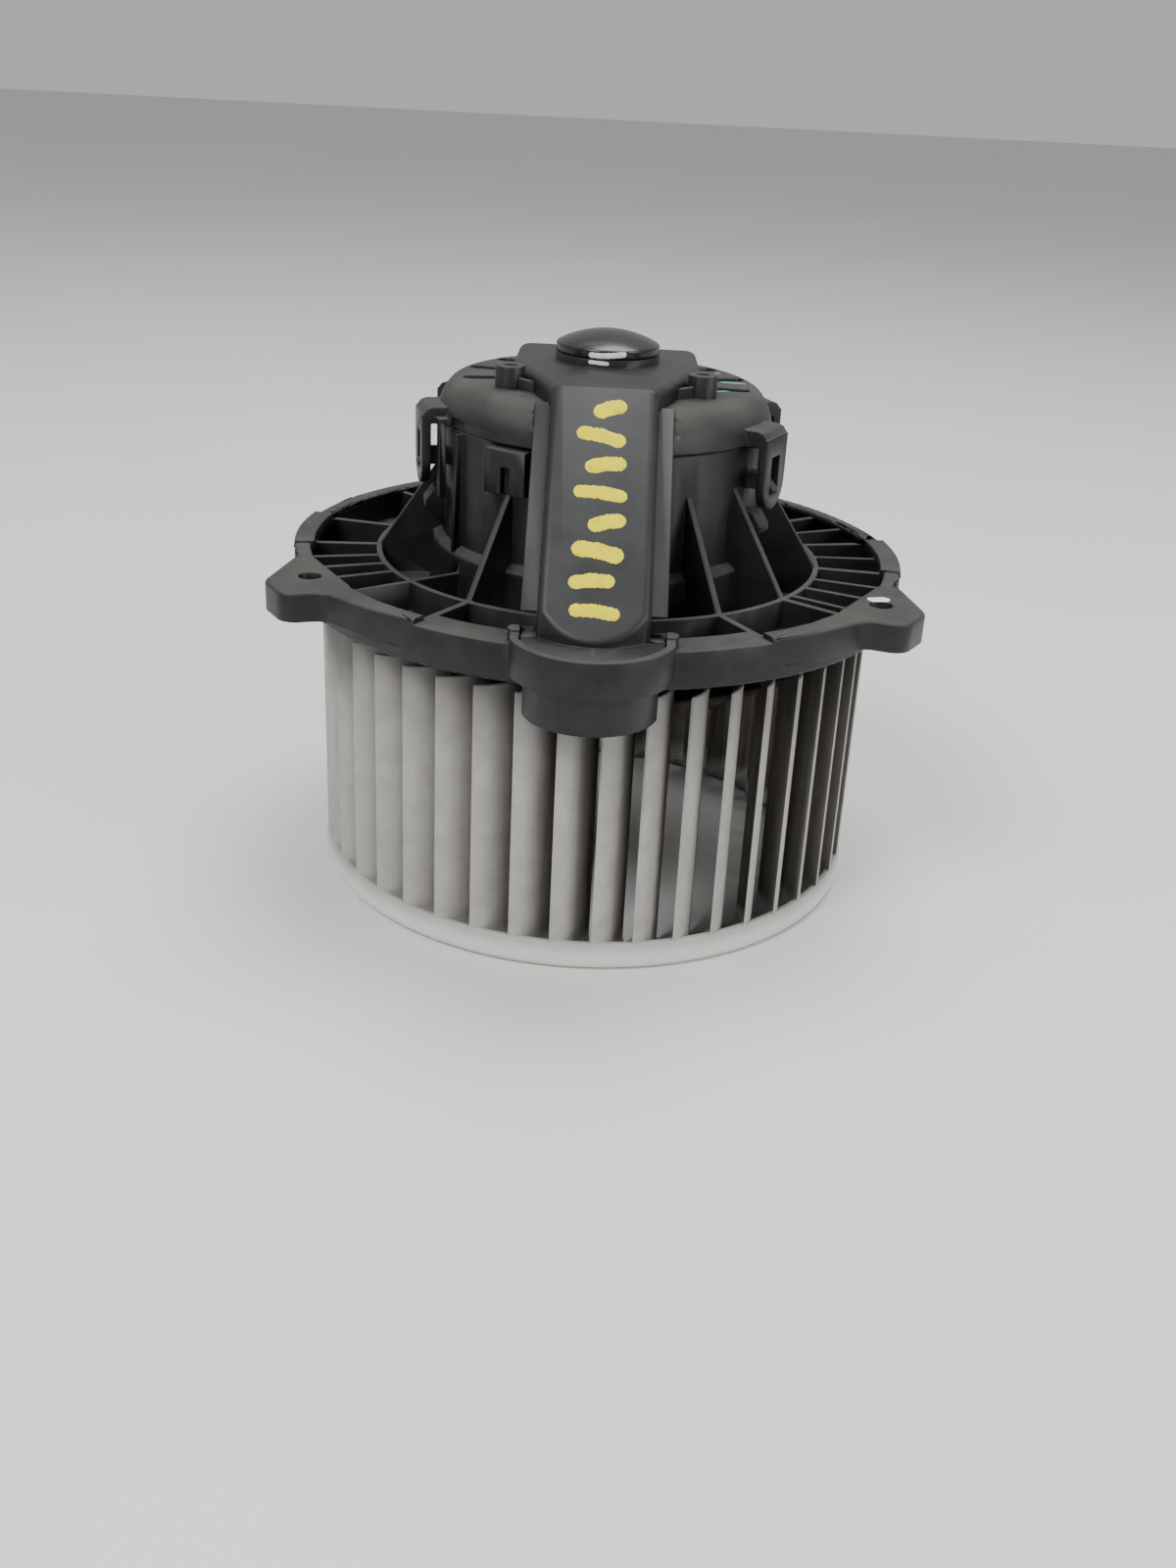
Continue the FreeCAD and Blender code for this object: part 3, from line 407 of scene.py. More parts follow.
class Finish:
    """One material's node tree, with short calls for the nodes that the finishes share."""

    def __init__(self, name, base, roughness=0.5, metallic=0.0, specular=0.5):
        self.material = bpy.data.materials.new(name)
        self.material.use_nodes = True
        self.material.diffuse_color = (*base, 1)
        self.tree = self.material.node_tree
        self.shader = self.tree.nodes["Principled BSDF"]
        self.shader.inputs["Base Color"].default_value = (*base, 1)
        self.shader.inputs["Roughness"].default_value = roughness
        self.shader.inputs["Metallic"].default_value = metallic
        self.shader.inputs["Specular IOR Level"].default_value = specular
        self.coordinates = self.tree.nodes.new("ShaderNodeTexCoord")
        self.place = self.coordinates.outputs["Object"]

    def node(self, kind, **settings):
        node = self.tree.nodes.new(kind)
        for key, value in settings.items():
            setattr(node, key, value)
        return node

    def feed(self, socket, value):
        """Links a socket, or sets a plain value, whichever it is given."""
        if isinstance(value, bpy.types.NodeSocket):
            self.tree.links.new(value, socket)
        elif hasattr(value, "__len__") and len(value) == 3 and socket.type == "RGBA":
            socket.default_value = (*value, 1)
        else:
            socket.default_value = value

    def noise(self, scale, detail=3.0, stretch=None):
        texture = self.node("ShaderNodeTexNoise")
        texture.inputs["Scale"].default_value = scale
        texture.inputs["Detail"].default_value = detail
        texture.inputs["Roughness"].default_value = 0.55
        source = self.place
        if stretch:
            mapping = self.node("ShaderNodeMapping")
            mapping.inputs["Scale"].default_value = stretch
            self.tree.links.new(source, mapping.inputs["Vector"])
            source = mapping.outputs[0]
        self.tree.links.new(source, texture.inputs["Vector"])
        return texture.outputs["Fac"]

    def ramp(self, value, low, high, out_low=0.0, out_high=1.0):
        node = self.node("ShaderNodeMapRange", interpolation_type="SMOOTHSTEP")
        self.feed(node.inputs["Value"], value)
        limits = {"From Min": low, "From Max": high, "To Min": out_low, "To Max": out_high}
        for key, number in limits.items():
            node.inputs[key].default_value = number
        return node.outputs["Result"]

    def math(self, operation, a, b=0.0):
        node = self.node("ShaderNodeMath", operation=operation)
        self.feed(node.inputs[0], a)
        self.feed(node.inputs[1], b)
        return node.outputs[0]

    def scaled(self, value, gain, offset):
        """The value times a gain, plus an offset."""
        node = self.node("ShaderNodeMath", operation="MULTIPLY_ADD")
        self.feed(node.inputs[0], value)
        node.inputs[1].default_value = gain
        node.inputs[2].default_value = offset
        return node.outputs[0]

    def mix(self, share_of_b, a, b):
        node = self.node("ShaderNodeMix", data_type="RGBA")
        self.feed(node.inputs[0], share_of_b)
        self.feed(node.inputs[6], a)
        self.feed(node.inputs[7], b)
        return node.outputs[2]

    def axis(self, vector, name):
        node = self.node("ShaderNodeSeparateXYZ")
        self.tree.links.new(vector, node.inputs[0])
        return node.outputs[name]

    def facing_up(self):
        """Upward part of the surface's own normal."""
        return self.axis(self.coordinates.outputs["Normal"], "Z")

    def radius(self):
        """Distance from the shaft axis, in metres."""
        flat = self.node("ShaderNodeVectorMath", operation="MULTIPLY")
        self.tree.links.new(self.place, flat.inputs[0])
        flat.inputs[1].default_value = (1, 1, 0)
        length = self.node("ShaderNodeVectorMath", operation="LENGTH")
        self.tree.links.new(flat.outputs[0], length.inputs[0])
        return length.outputs["Value"]

    def bump(self, height, strength, distance):
        node = self.node("ShaderNodeBump")
        node.inputs["Strength"].default_value = strength
        node.inputs["Distance"].default_value = distance
        self.feed(node.inputs["Height"], height)
        self.tree.links.new(node.outputs[0], self.shader.inputs["Normal"])

    def paint(self, base, roughness=None):
        """Feeds the shader and gives back the finished material."""
        self.feed(self.shader.inputs["Base Color"], base)
        if roughness is not None:
            self.feed(self.shader.inputs["Roughness"], roughness)
        return self.material


def moulded_black(name, plastic, dust, dusty, edge=False):
    """Talc-filled moulding with fine grain, handling marks and dust where it looks up; with edge set, more
    dust colour all over, for rolled edges that are partly dusty and partly a painted highlight.
    """
    finish = Finish(name, plastic, 0.5, specular=0.3)
    cloud = finish.ramp(finish.noise(55, 5), 0.32, 0.68)
    speckle = finish.ramp(finish.noise(900, 2), 0.45, 0.75)
    up = finish.ramp(finish.facing_up(), 0.05, 0.85)
    settled = finish.math("MULTIPLY", up, finish.scaled(cloud, 0.45, 0.5))
    haze = finish.math("MULTIPLY", finish.ramp(finish.noise(18, 4), 0.35, 0.7), 0.04)
    cover = finish.math("ADD", finish.math("MULTIPLY", settled, dusty), haze)
    # Rolled edges: extra dust colour, partly dust and wear, partly a painted highlight.
    if edge:
        cover = finish.math("ADD", cover, 0.14)
    cover = finish.math("MULTIPLY", cover, finish.scaled(speckle, 0.18, 0.88))
    cover.node.use_clamp = True
    paler = [c * 1.6 + 0.002 for c in plastic]
    base = finish.mix(finish.ramp(finish.noise(140, 3), 0.3, 0.75), plastic, paler)
    grain = finish.math("ADD", finish.noise(2600, 2), finish.math("MULTIPLY", finish.noise(420, 3), 0.6))
    finish.bump(grain, 0.35, 0.00006)
    return finish.paint(finish.mix(cover, base, dust), finish.ramp(cover, 0.0, 0.8, 0.42, 0.88))


def glossy_black(name, base):
    """Semi-gloss cap with a few rub marks and dust."""
    finish = Finish(name, base, 0.3, specular=0.5)
    rubs = finish.ramp(finish.noise(60, 6, stretch=(1, 4, 1)), 0.5, 0.8)
    up = finish.math("MULTIPLY", finish.ramp(finish.facing_up(), 0.4, 1.0), 0.55)
    film = finish.math("MULTIPLY", up, finish.ramp(finish.noise(90, 4), 0.25, 0.8, 0.5, 1.0))
    finish.bump(finish.noise(1500, 2), 0.2, 0.00004)
    return finish.paint(finish.mix(film, base, (0.030, 0.029, 0.027)), finish.ramp(rubs, 0, 1, 0.24, 0.45))


def wheel_grey(name, plastic, rim, grime_and_shade):
    """Grey wheel plastic: dusty blades, a brown tone towards the hub that is partly stains and partly
    painted shade, painted shadow at the blades' tops and a rubbed clean bottom ring.
    """
    finish = Finish(name, plastic, 0.6, specular=0.35)
    height = finish.axis(finish.place, "Z")
    band_top, rubbed_below = WHEEL_LOW.z + 9 * MM, WHEEL_LOW.z + 2.5 * MM
    clean = finish.ramp(height, band_top, rubbed_below)
    streaks = finish.ramp(finish.noise(240, 4, stretch=(1, 1, 0.06)), 0.35, 0.7)
    # Partly painted shade: the blades turn brown towards their inner edges, deep in the cage, for stains and
    # for the shade that falls there.
    blade_tip_r, blade_root_r = 77.4 * MM, 67.0 * MM
    inward = finish.ramp(finish.radius(), blade_tip_r, blade_root_r)
    grime_and_shade_mask = finish.math("MULTIPLY", inward, finish.ramp(streaks, 0, 1, 0.75, 1.0))
    grime_and_shade_mask = finish.math("MULTIPLY", grime_and_shade_mask, finish.ramp(clean, 0, 1, 1.0, 0.55))
    # Painted shadow: the blades darken towards their tops, where the flange's rim shades them.
    under = finish.ramp(height, BLADE_TOP - 26 * MM, BLADE_TOP, 0.0, 0.6)
    dull = [c * 0.82 for c in plastic]
    face = finish.mix(finish.ramp(finish.noise(160, 5), 0.3, 0.75), plastic, dull)
    face = finish.mix(finish.math("MULTIPLY", streaks, 0.35), face, dull)
    face = finish.mix(under, face, [c * 0.4 for c in plastic])
    face = finish.mix(clean, face, rim)
    face = finish.mix(grime_and_shade_mask, face, grime_and_shade)
    specks = finish.ramp(finish.noise(1800, 1), 0.62, 0.72)
    face = finish.mix(finish.math("MULTIPLY", specks, 0.35), face, [c * 0.5 for c in plastic])
    finish.bump(finish.noise(1400, 3), 0.25, 0.00005)
    return finish.paint(face, finish.ramp(clean, 0, 1, 0.72, 0.5))


def metal(name, base, roughness, lines=0.0):
    """Metal with a slight mottle, and fine lines round the shaft where it was turned."""
    finish = Finish(name, base, roughness, metallic=1.0)
    stretch = (1, 1, 40) if lines else None
    mottle = finish.ramp(finish.noise(120, 4, stretch=stretch), 0.3, 0.7)
    finish.bump(finish.noise(900, 3, stretch=stretch), 0.15 + lines, 0.00003)
    rough = finish.ramp(mottle, 0, 1, roughness * 0.8, min(1.0, roughness * 1.3))
    return finish.paint(finish.mix(mottle, base, [c * 0.8 for c in base]), rough)


def dull_solid(name, base, roughness, grain=600):
    """Non-metal with a fine grain and a darker tone in patches."""
    finish = Finish(name, base, roughness, specular=0.35)
    tone = finish.ramp(finish.noise(grain / 8, 4), 0.35, 0.7)
    finish.bump(finish.noise(grain, 3), 0.3, 0.00006)
    return finish.paint(finish.mix(tone, base, [c * 0.65 for c in base]),
                        finish.ramp(tone, 0, 1, roughness, min(1.0, roughness + 0.12)))


def laminations(name, base):
    """Stack of thin sheets: fine level lines up the core."""
    finish = Finish(name, base, 0.45, metallic=0.9)
    wave = finish.node("ShaderNodeTexWave", wave_type="BANDS", bands_direction="Z")
    wave.inputs["Scale"].default_value = 320
    finish.tree.links.new(finish.place, wave.inputs["Vector"])
    sheets = wave.outputs["Fac"]
    finish.bump(sheets, 0.5, 0.00008)
    return finish.paint(finish.mix(finish.ramp(sheets, 0.2, 0.8), [c * 0.5 for c in base], base),
                        finish.ramp(finish.noise(200), 0.3, 0.7, 0.35, 0.6))


def windings(name, base):
    """Enamelled wire laid side by side."""
    finish = Finish(name, base, 0.3, metallic=0.7)
    wave = finish.node("ShaderNodeTexWave", wave_type="BANDS", bands_direction="DIAGONAL")
    wave.inputs["Scale"].default_value = 240
    wave.inputs["Distortion"].default_value = 1.5
    finish.tree.links.new(finish.place, wave.inputs["Vector"])
    strands = wave.outputs["Fac"]
    finish.bump(strands, 0.7, 0.00015)
    return finish.paint(finish.mix(strands, [c * 0.35 for c in base], base),
                        finish.ramp(strands, 0, 1, 0.45, 0.25))


def pen_paint(name, base, darkened):
    """Paint-pen film, in patches of its full colour and of that colour darkened to a share."""
    finish = Finish(name, base, 0.5, specular=0.15)
    patch = finish.ramp(finish.noise(420, 5), 0.42, 0.72)
    shade = [c * darkened for c in base]
    finish.bump(finish.noise(700, 3), 0.35, 0.00008)
    return finish.paint(finish.mix(patch, base, shade), finish.ramp(patch, 0, 1, 0.38, 0.6))


def paint_over(piece, *materials):
    """Gives a piece its finishes, one for each material slot."""
    piece.data.materials.clear()
    for material in materials:
        piece.data.materials.append(material)


# ---------------------------------------------------------------- pieces

class BLOWER_OT_housing(bpy.types.Operator):
    """Roll over the edges of the black mouldings and give them their finish"""
    bl_idname = "blower.housing"
    bl_label = "Mouldings"

    def execute(self, context):
        s = context.scene.blower_housing
        # The second finish of each pair goes on the rolled edges: partly dust, partly a painted highlight.
        dusty = [moulded_black("black_moulding" + end, s.plastic[:], s.dust[:], s.dusty, bool(end))
                 for end in ("", "_edges")]
        wiped = [moulded_black("wiped_moulding" + end, s.plastic[:], s.dust[:], s.duct_dusty, bool(end))
                 for end in ("", "_edges")]
        for node, name, finish in (("motor_holder", "ribbed_holder", dusty),
                                   ("motor_cover", "domed_cover", dusty),
                                   ("cooling_duct", "duct_top", wiped),
                                   ("power_socket", "plug_socket", dusty)):
            piece = rounded_copy(node, name, s.edge_radius)
            paint_over(piece, *finish)
            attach(piece, "housing")
            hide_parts(node)
        return {"FINISHED"}


class BLOWER_OT_cap(bpy.types.Operator):
    """Turn the slightly crowned cap"""
    bl_idname = "blower.cap"
    bl_label = "Cap"

    def execute(self, context):
        r, top, low = CAP_HIGH.x / MM, CAP_HIGH.z / MM, CAP_LOW.z / MM
        crown = 28.6
        shoulder, lip, ceiling = top - 3.65, top - 5.8, top - 5.5
        plug_out, plug_in = r - 2.5, r - 4.1
        crown_stations = (0, 2, 4, 6, 8, 10, 11.5, 12.8)
        corners = [(x, top - crown + math.sqrt(crown ** 2 - x ** 2), 0) for x in crown_stations]
        corners += [(r, shoulder, 0.6), (r, lip, 0.3), (plug_out, lip, 0), (plug_out, low, 0.3),
                    (plug_in, low, 0.3), (plug_in, ceiling, 0.5), (0, ceiling, 0)]
        piece = add_piece("round_cap", lathe("round_cap", corners, 96))
        paint_over(piece, glossy_black("cap_black", context.scene.blower_housing.cap[:]))
        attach(piece, "housing")
        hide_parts("top_cap")
        return {"FINISHED"}


def blade_mesh(s):
    """One blade: a bowed section that thins towards its inner edge, with a flared foot and a soft top."""
    steps = 9
    taper, blunt = 0.3, 0.45
    tip_r = WHEEL_HIGH.x - 0.6 * MM
    along = Vector((math.sin(s.lean), math.cos(s.lean), 0))
    across = Vector((math.cos(s.lean), -math.sin(s.lean), 0))
    tip = Vector((0, -tip_r, 0))

    def section(scale, inset):
        sides = ([], [])
        for k in range(steps):
            t = k / (steps - 1)
            run = inset + (s.chord - 2 * inset) * t
            middle = tip + along * run + across * (s.bow * 4 * t * (1 - t))
            half = s.thickness / 2 * scale * (1 - taper * t)
            if k in (0, steps - 1):
                half *= blunt
            sides[0].append(middle - across * half)
            sides[1].append(middle + across * half)
        return sides[0] + sides[1][::-1]

    low, high = WHEEL_LOW.z + 1.2 * MM, BLADE_TOP
    levels = [(low, 2.3, 0), (low + 1.0 * MM, 2.1, 0), (low + 1.9 * MM, 1.35, 0), (low + 3.2 * MM, 1.0, 0),
              (high - 0.5 * MM, 1.0, 0), (high - 0.12 * MM, 0.8, 0.12 * MM), (high, 0.4, 0.4 * MM)]
    points, faces = [], []
    count = 2 * steps
    for z, scale, inset in levels:
        points += [p + Vector((0, 0, z)) for p in section(scale, inset)]
    for i in range(len(levels) - 1):
        for k in range(count):
            a, b = i * count + k, i * count + (k + 1) % count
            faces.append((a, b, b + count, a + count))
    for base in (0, (len(levels) - 1) * count):
        for k in range(steps - 1):
            faces.append((base + k, base + k + 1, base + count - 2 - k, base + count - 1 - k))
    mesh = mesh_from("blade", points, faces)
    face_outwards(mesh)
    return mesh


class BLOWER_OT_wheel(bpy.types.Operator):
    """Build the wheel: blades set round the shaft, bottom ring and dished hub"""
    bl_idname = "blower.wheel"
    bl_label = "Fan wheel"

    def execute(self, context):
        s = context.scene.blower_wheel
        finish = wheel_grey("wheel_plastic_dusty", s.plastic[:], s.rim[:], s.grime_and_shade[:])
        blades = round_the_shaft("blade_ring", blade_mesh(s), s.blades, s.first, finish)
        smooth(blades.data, 50)
        ring_r, base = WHEEL_HIGH.x / MM, WHEEL_LOW.z / MM
        inner_r, band_top = ring_r - 12, base + 8
        ring = [(inner_r, base + 0.2, 0.9), (ring_r - 9, base, 3), (ring_r - 0.2, base, 2.6),
                (ring_r, base + 4, 3), (ring_r - 0.5, band_top, 0.7), (ring_r - 2.3, band_top, 0.7),
                (ring_r - 3.4, base + 2.4, 1.6), (inner_r, base + 2.2, 0.9)]
        shaft_r, boss_r, boss_low, eye_r = 3, 7.5, -48, 66
        dish = [(shaft_r, -35, 0), (12, -35, 1), (15, -34, 1), (40, -29.5, 3), (48, -16, 4),
                (eye_r, -14, 0.6), (eye_r, -16, 0.6), (49, -18, 4), (41.2, -31.6, 3), (12, -37, 1),
                (8, -38, 1.5), (boss_r, boss_low, 0.6), (shaft_r, boss_low, 0.2)]
        parts = [add_piece("bottom_ring", lathe("bottom_ring", ring, 176, 6)),
                 add_piece("hub_dish", lathe("hub_dish", dish, 120, 5)), self.hub_ribs()]
        body = merge("wheel_ring_and_hub", parts)
        paint_over(body, finish)
        for piece in (blades, body):
            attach(piece, "rotor")
        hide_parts("fan_wheel_blades")
        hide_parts("fan_wheel_ring", "fan_wheel_hub")
        return {"FINISHED"}

    def hub_ribs(self):
        """Thin webs from the hub's boss to the dish, with their low corner eased on both faces."""
        low = -46
        outline = [(7, -37), (38, -31.8), (7, low)]
        points, faces = [], []
        for x, eased in ((-0.9, 0.25), (-0.65, 0), (0.65, 0), (0.9, 0.25)):
            points += [Vector((x, -r, z + (eased if z == low else 0))) * MM for r, z in outline]
        for i in range(3):
            for k in range(3):
                a, b = i * 3 + k, i * 3 + (k + 1) % 3
                faces.append((a, b, b + 3, a + 3))
        faces += [(0, 1, 2), (9, 10, 11)]
        mesh = mesh_from("hub_rib", points, faces)
        face_outwards(mesh)
        return round_the_shaft("hub_ribs", mesh, copies=6)


# ---------------------------------------------------------------- paint

DOWN = (0, 0, -1)
DOWN_THE_SLOPE = (0, 0.7, -0.7)
FROM_THE_FRONT = (0, 1, 0)

# Yellow bars from the top of the duct's slope down: length, tilt in degrees, shift along X, width.
BARS = ((8, 14, 1.5, 4.2), (12, -9, -0.5, 3.9), (10, 6, 1, 4.1), (13, -4, 0, 3.6),
        (9, 10, 2, 4.0), (12.5, -7, 0, 4.3), (11, 3, -1, 3.8), (12, -3, 0, 3.5))
BAR_PITCH = 5.65
FIRST_BAR_Y = -43.5
BEND_Y, BEND_Z = -38, 60
FALL = 0.99

# Smaller strokes: path, width, the direction they are laid in and the seed of their uneven sides.
WHITE_STROKES = ((((-5, -16, 62.4), (-1.5, -16, 62.3), (5, -16, 62.9)), 1.5, FROM_THE_FRONT, 31),
                 (((-5, -16, 60.6), (0.5, -16, 60.4)), 1.0, FROM_THE_FRONT, 32),
                 (((71, -39, 9), (77, -38, 9)), 4.0, DOWN, 33),
                 (((-62.5, -42, 9), (-60.5, -41.4, 9)), 1.6, DOWN, 34))
GREEN_STROKES = ((((29, -10, 56), (37, -6, 56)), 0.9, DOWN, 41),
                 (((31, 4, 56), (38, 3, 56)), 1.2, DOWN, 42),
                 (((26, 14, 56), (32, 17, 56)), 1.0, DOWN, 43))


def paint_stroke(name, surface, film, path, width, towards, seed):
    """Closed film of paint along a path in millimetres, dropped on to the surface it faces."""
    draw = random.Random(seed)
    towards = Vector(towards).normalized()
    line = [Vector(p) * MM for p in path]
    lengths = [(b - a).length for a, b in zip(line, line[1:])]
    total = sum(lengths)
    steps, lanes = max(6, int(total / (STROKE_STEP * MM))), STROKE_LANES
    rows = []
    for i in range(steps + 1):
        along = total * i / steps
        for a, b, run in zip(line, line[1:], lengths):
            if along <= run + NO_LENGTH:
                place, heading = a.lerp(b, along / run), (b - a).normalized()
                break
            along -= run
        side = heading.cross(towards).normalized()
        end = min(i, steps - i) / steps * total / (width * MM)
        swell = math.sqrt(max(0.0, 1 - (1 - min(1.0, 2 * end)) ** 2)) * draw.uniform(0.88, 1.06)
        row = []
        for j in range(-lanes, lanes + 1):
            reach = width * MM / 2 * j / lanes * max(0.12, swell)
            start = place + side * reach - towards * DROP_START * MM
            hit, normal, _, _ = surface.ray_cast(start, towards, DROP_REACH * MM)
            if hit is None:
                break
            if normal.dot(towards) > 0:
                normal = -normal
            row.append((hit, normal, 1 - (abs(j) / lanes) ** 4))
        if len(row) == 2 * lanes + 1:
            rows.append(row)
    wide = 2 * lanes + 1
    top, under = [], []
    for i, row in enumerate(rows):
        rise = min(1.0, min(i, len(rows) - 1 - i) / 2)
        for hit, normal, crown in row:
            top.append(hit + normal * film * (0.15 + 0.85 * crown * rise))
            under.append(hit - normal * film * 0.6)
    faces = []
    count = len(top)
    for i in range(len(rows) - 1):
        for j in range(wide - 1):
            a = i * wide + j
            faces.append((a, a + 1, a + wide + 1, a + wide))
            faces.append((count + a, count + a + wide, count + a + wide + 1, count + a + 1))
    rim = [j for j in range(wide)] + [i * wide + wide - 1 for i in range(1, len(rows))]
    rim += [(len(rows) - 1) * wide + j for j in range(wide - 2, -1, -1)]
    rim += [i * wide for i in range(len(rows) - 2, 0, -1)]
    for a, b in zip(rim, rim[1:] + rim[:1]):
        faces.append((a, count + a, count + b, b))
    mesh = mesh_from(name, top + under, faces)
    face_outwards(mesh)
    mesh.shade_smooth()
    return add_piece(name, mesh)


class BLOWER_OT_paint(bpy.types.Operator):
    """Lay plain paint-pen strokes on the duct, the cap, the ears and the cover"""
    bl_idname = "blower.paint"
    bl_label = "Paint marks"

    def execute(self, context):
        s = context.scene.blower_paint
        painted = ("ribbed_holder", "domed_cover", "duct_top", "round_cap")
        surface = surface_of([bpy.data.objects[name] for name in painted])
        for name, strokes, base, darkened in (("yellow_paint", self.bars(), s.yellow, 0.8),
                                              ("white_paint", WHITE_STROKES, s.white, 0.8),
                                              ("green_paint", GREEN_STROKES, s.green, 0.5)):
            parts = [paint_stroke(f"{name}_{k}", surface, s.film, *stroke)
                     for k, stroke in enumerate(strokes)]
            piece = merge(name, parts)
            paint_over(piece, pen_paint(name + "_film", base[:], darkened))
            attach(piece, "housing")
        return {"FINISHED"}

    def bars(self):
        """Strokes down the duct's slope, each bent a little and tilted its own way."""
        strokes = []
        for k, (length, tilt, shift, width) in enumerate(BARS):
            y = FIRST_BAR_Y - BAR_PITCH * k
            z = BEND_Z + (y - BEND_Y) * FALL
            rise = math.tan(math.radians(tilt)) * length / 2
            path = [(shift - length / 2, y - rise, z - rise), (shift, y + 0.4, z + 0.4),
                    (shift + length / 2, y + rise, z + rise)]
            strokes.append((path, width, DOWN_THE_SLOPE, 10 + k))
        return strokes


# ---------------------------------------------------------------- metal, rubber and wiring

class BLOWER_OT_motor(bpy.types.Operator):
    """Finish the motor, its fixings and its wiring"""
    bl_idname = "blower.motor"
    bl_label = "Motor and wiring"

    def execute(self, context):
        zinc = metal("zinc_plate", (0.52, 0.53, 0.54), 0.38)
        spring = metal("spring_steel_dark", (0.22, 0.22, 0.235), 0.35)
        ground = metal("ground_steel", (0.62, 0.62, 0.61), 0.22, lines=0.15)
        bronze = metal("oiled_bronze", (0.42, 0.27, 0.13), 0.5)
        brass_sheet = metal("brass_sheet", (0.78, 0.58, 0.26), 0.3)
        bars = metal("copper_bars", (0.80, 0.42, 0.25), 0.28, lines=0.2)
        finishes = {
            zinc: ("motor_can", "motor_screws"),
            spring: ("magnet_springs", "brush_springs", "rear_bearing_retainer", "front_bearing_retainer",
                     "fan_hub_clip", "balance_clip"),
            ground: ("shaft", "thrust_washers"),
            bronze: ("rear_bearing", "front_bearing"),
            brass_sheet: ("brush_holders", "terminal_blades"),
            bars: ("commutator",),
            laminations("core_sheets", (0.35, 0.35, 0.36)): ("armature_core",),
            windings("enamelled_wire", (0.62, 0.24, 0.08)): ("armature_winding",),
            windings("choke_wire", (0.70, 0.32, 0.10)): ("suppression_chokes",),
            dull_solid("ferrite_grey", (0.045, 0.045, 0.05), 0.55): ("field_magnets",),
            dull_solid("brush_carbon", (0.03, 0.03, 0.032), 0.6, 1500): ("brush_left", "brush_right"),
            dull_solid("soft_rubber", (0.016, 0.016, 0.016), 0.75): ("lower_rubber_mount",
                                                                     "upper_rubber_mount"),
            dull_solid("brown_phenolic", (0.10, 0.052, 0.026), 0.5, 500): ("brush_plate", "commutator_core"),
            dull_solid("lead_sleeve", (0.018, 0.018, 0.02), 0.45, 300): ("motor_leads",),
        }
        for finish, nodes in finishes.items():
            for node in nodes:
                paint_over(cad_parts[node], finish)
        return {"FINISHED"}


# ---------------------------------------------------------------- stage

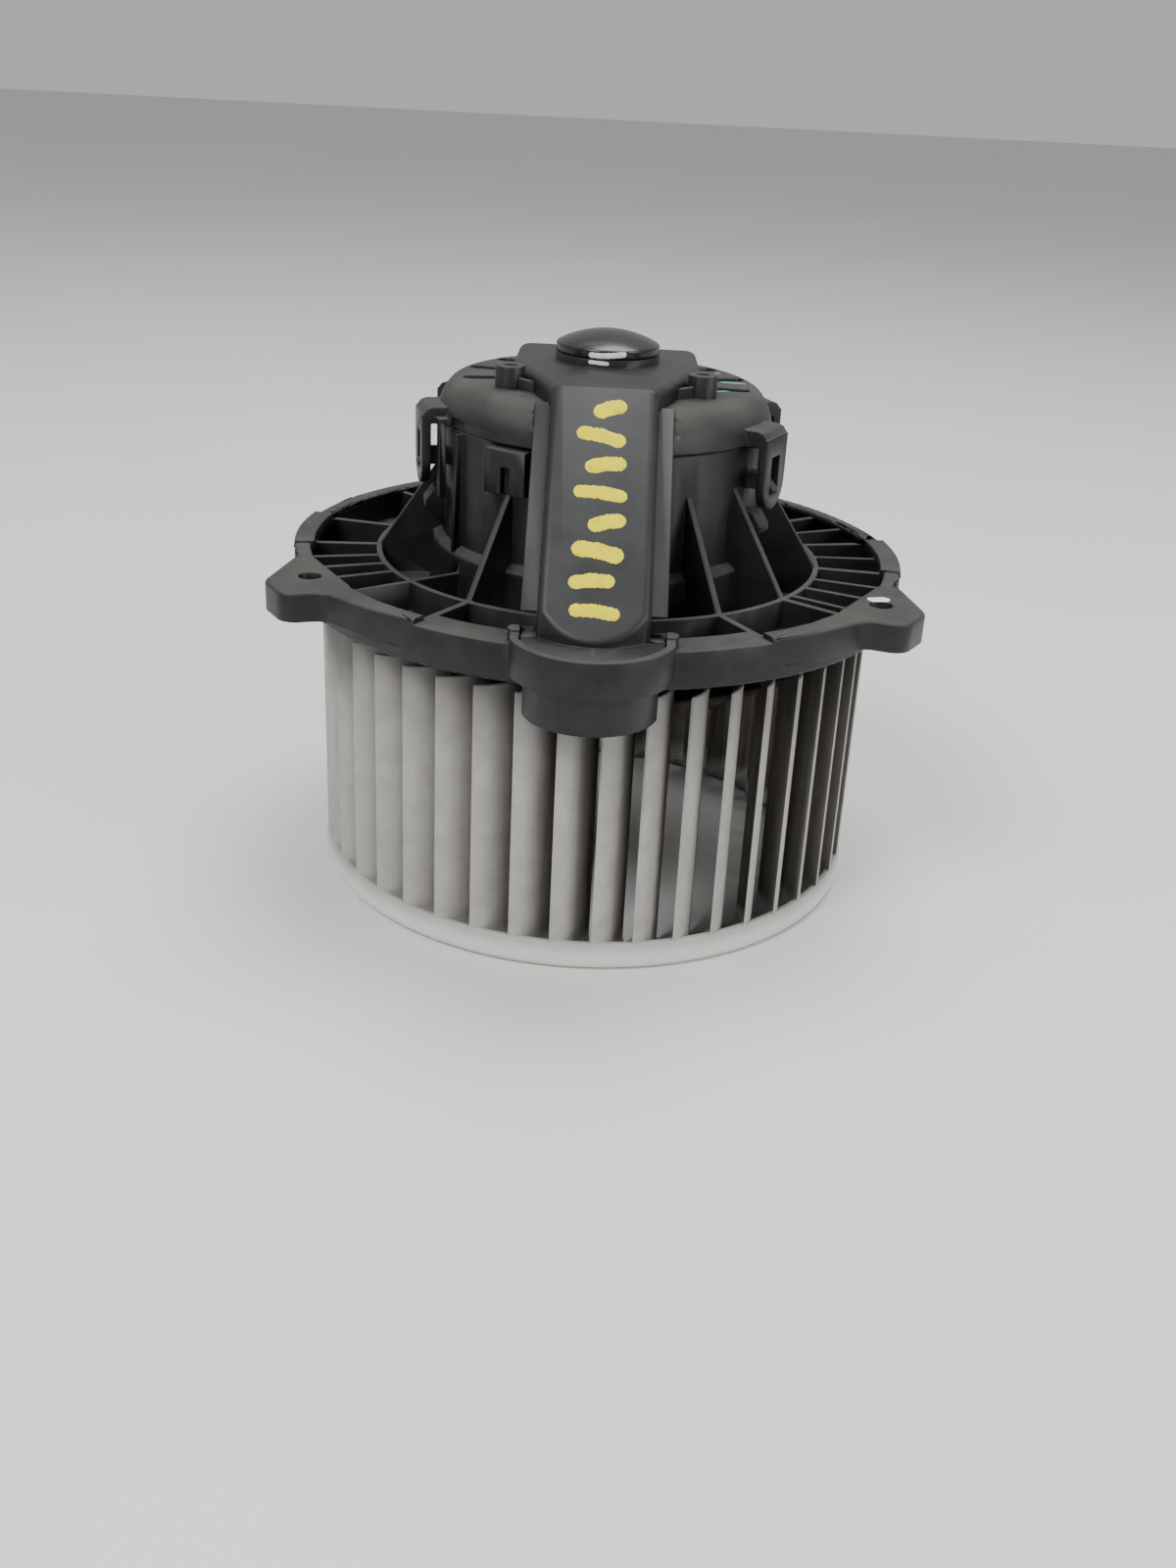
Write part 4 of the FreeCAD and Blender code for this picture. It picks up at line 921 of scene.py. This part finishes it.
class BLOWER_OT_stage(bpy.types.Operator):
    """Set the pale floor, the soft lights and the camera"""
    bl_idname = "blower.stage"
    bl_label = "Stage"

    def execute(self, context):
        s = context.scene.blower_stage
        reach = 6
        points = [(x * reach, y * reach, FLOOR_Z) for x, y in ((-1, -1), (1, -1), (1, 1), (-1, 1))]
        floor = add_piece("stage_floor", mesh_from("stage_floor", points, [(0, 1, 2, 3)]))
        paper = Finish("pale_floor", s.floor[:], 0.85, specular=0.2)
        tone = paper.ramp(paper.noise(6, 3), 0.3, 0.7)
        paint_over(floor, paper.paint(paper.mix(tone, s.floor[:], [c * 0.97 for c in s.floor])))
        self.light("key", (-0.55, -0.75, 0.95), 0.55, 14)
        self.light("top", (0.15, 0.25, 1.20), 0.80, 14)
        self.light("fill", (0.95, -0.55, 0.45), 0.60, 6)
        world = bpy.data.worlds.new("Studio")
        world.use_nodes = True
        world.node_tree.nodes["Background"].inputs["Color"].default_value = (0.86, 0.88, 0.92, 1)
        world.node_tree.nodes["Background"].inputs["Strength"].default_value = 0.55
        context.scene.world = world
        self.camera(s)
        return {"FINISHED"}

    def light(self, name, place, extent, power):
        lamp = bpy.data.lights.new(name, "AREA")
        lamp.shape = "DISK"
        lamp.size = extent
        lamp.energy = power
        holder = bpy.data.objects.new(name, lamp)
        aim = Vector((0, 0, 0)) - Vector(place)
        holder.matrix_world = Matrix.Translation(place) @ aim.to_track_quat("-Z", "Y").to_matrix().to_4x4()
        bpy.context.scene.collection.objects.link(holder)

    def camera(self, s):
        lens = bpy.data.cameras.new("view")
        lens.sensor_width = 36
        lens.lens = 36
        lens.clip_start = 0.01
        holder = bpy.data.objects.new("view", lens)
        level = math.pi / 2
        tilted = Matrix.Rotation(level - s.pitch, 4, "X") @ Matrix.Rotation(s.roll, 4, "Z")
        holder.matrix_world = Matrix.Translation(s.camera_place) @ tilted
        bpy.context.scene.collection.objects.link(holder)
        bpy.context.scene.camera = holder


class BLOWER_PT_panel(bpy.types.Panel):
    """Sidebar panel with every step and its settings"""
    bl_idname = "BLOWER_PT_panel"
    bl_label = "Cabin Blower"
    bl_space_type = "VIEW_3D"
    bl_region_type = "UI"
    bl_category = "Blower"

    def draw(self, context):
        scene = context.scene
        for group, steps in ((scene.blower_housing, ("blower.housing", "blower.cap")),
                             (scene.blower_wheel, ("blower.wheel",)),
                             (scene.blower_paint, ("blower.paint", "blower.motor")),
                             (scene.blower_stage, ("blower.stage",))):
            box = self.layout.box()
            for key in group.__annotations__:
                box.prop(group, key)
            for step in steps:
                box.operator(step)


CLASSES = (BlowerHousingSettings, BlowerWheelSettings, BlowerPaintSettings, BlowerStageSettings,
           BLOWER_OT_housing, BLOWER_OT_cap, BLOWER_OT_wheel, BLOWER_OT_paint, BLOWER_OT_motor,
           BLOWER_OT_stage, BLOWER_PT_panel)
GROUPS = {"blower_housing": BlowerHousingSettings, "blower_wheel": BlowerWheelSettings,
          "blower_paint": BlowerPaintSettings, "blower_stage": BlowerStageSettings}


def register():
    for item in CLASSES:
        bpy.utils.register_class(item)
    for name, group in GROUPS.items():
        setattr(bpy.types.Scene, name, bpy.props.PointerProperty(type=group))


def unregister():
    for name in GROUPS:
        delattr(bpy.types.Scene, name)
    for item in reversed(CLASSES):
        bpy.utils.unregister_class(item)


def main():
    register()
    bpy.ops.blower.stage()
    bpy.ops.blower.housing()
    bpy.ops.blower.cap()
    bpy.ops.blower.wheel()
    bpy.ops.blower.motor()
    bpy.ops.blower.paint()


if __name__ == "__main__":
    main()
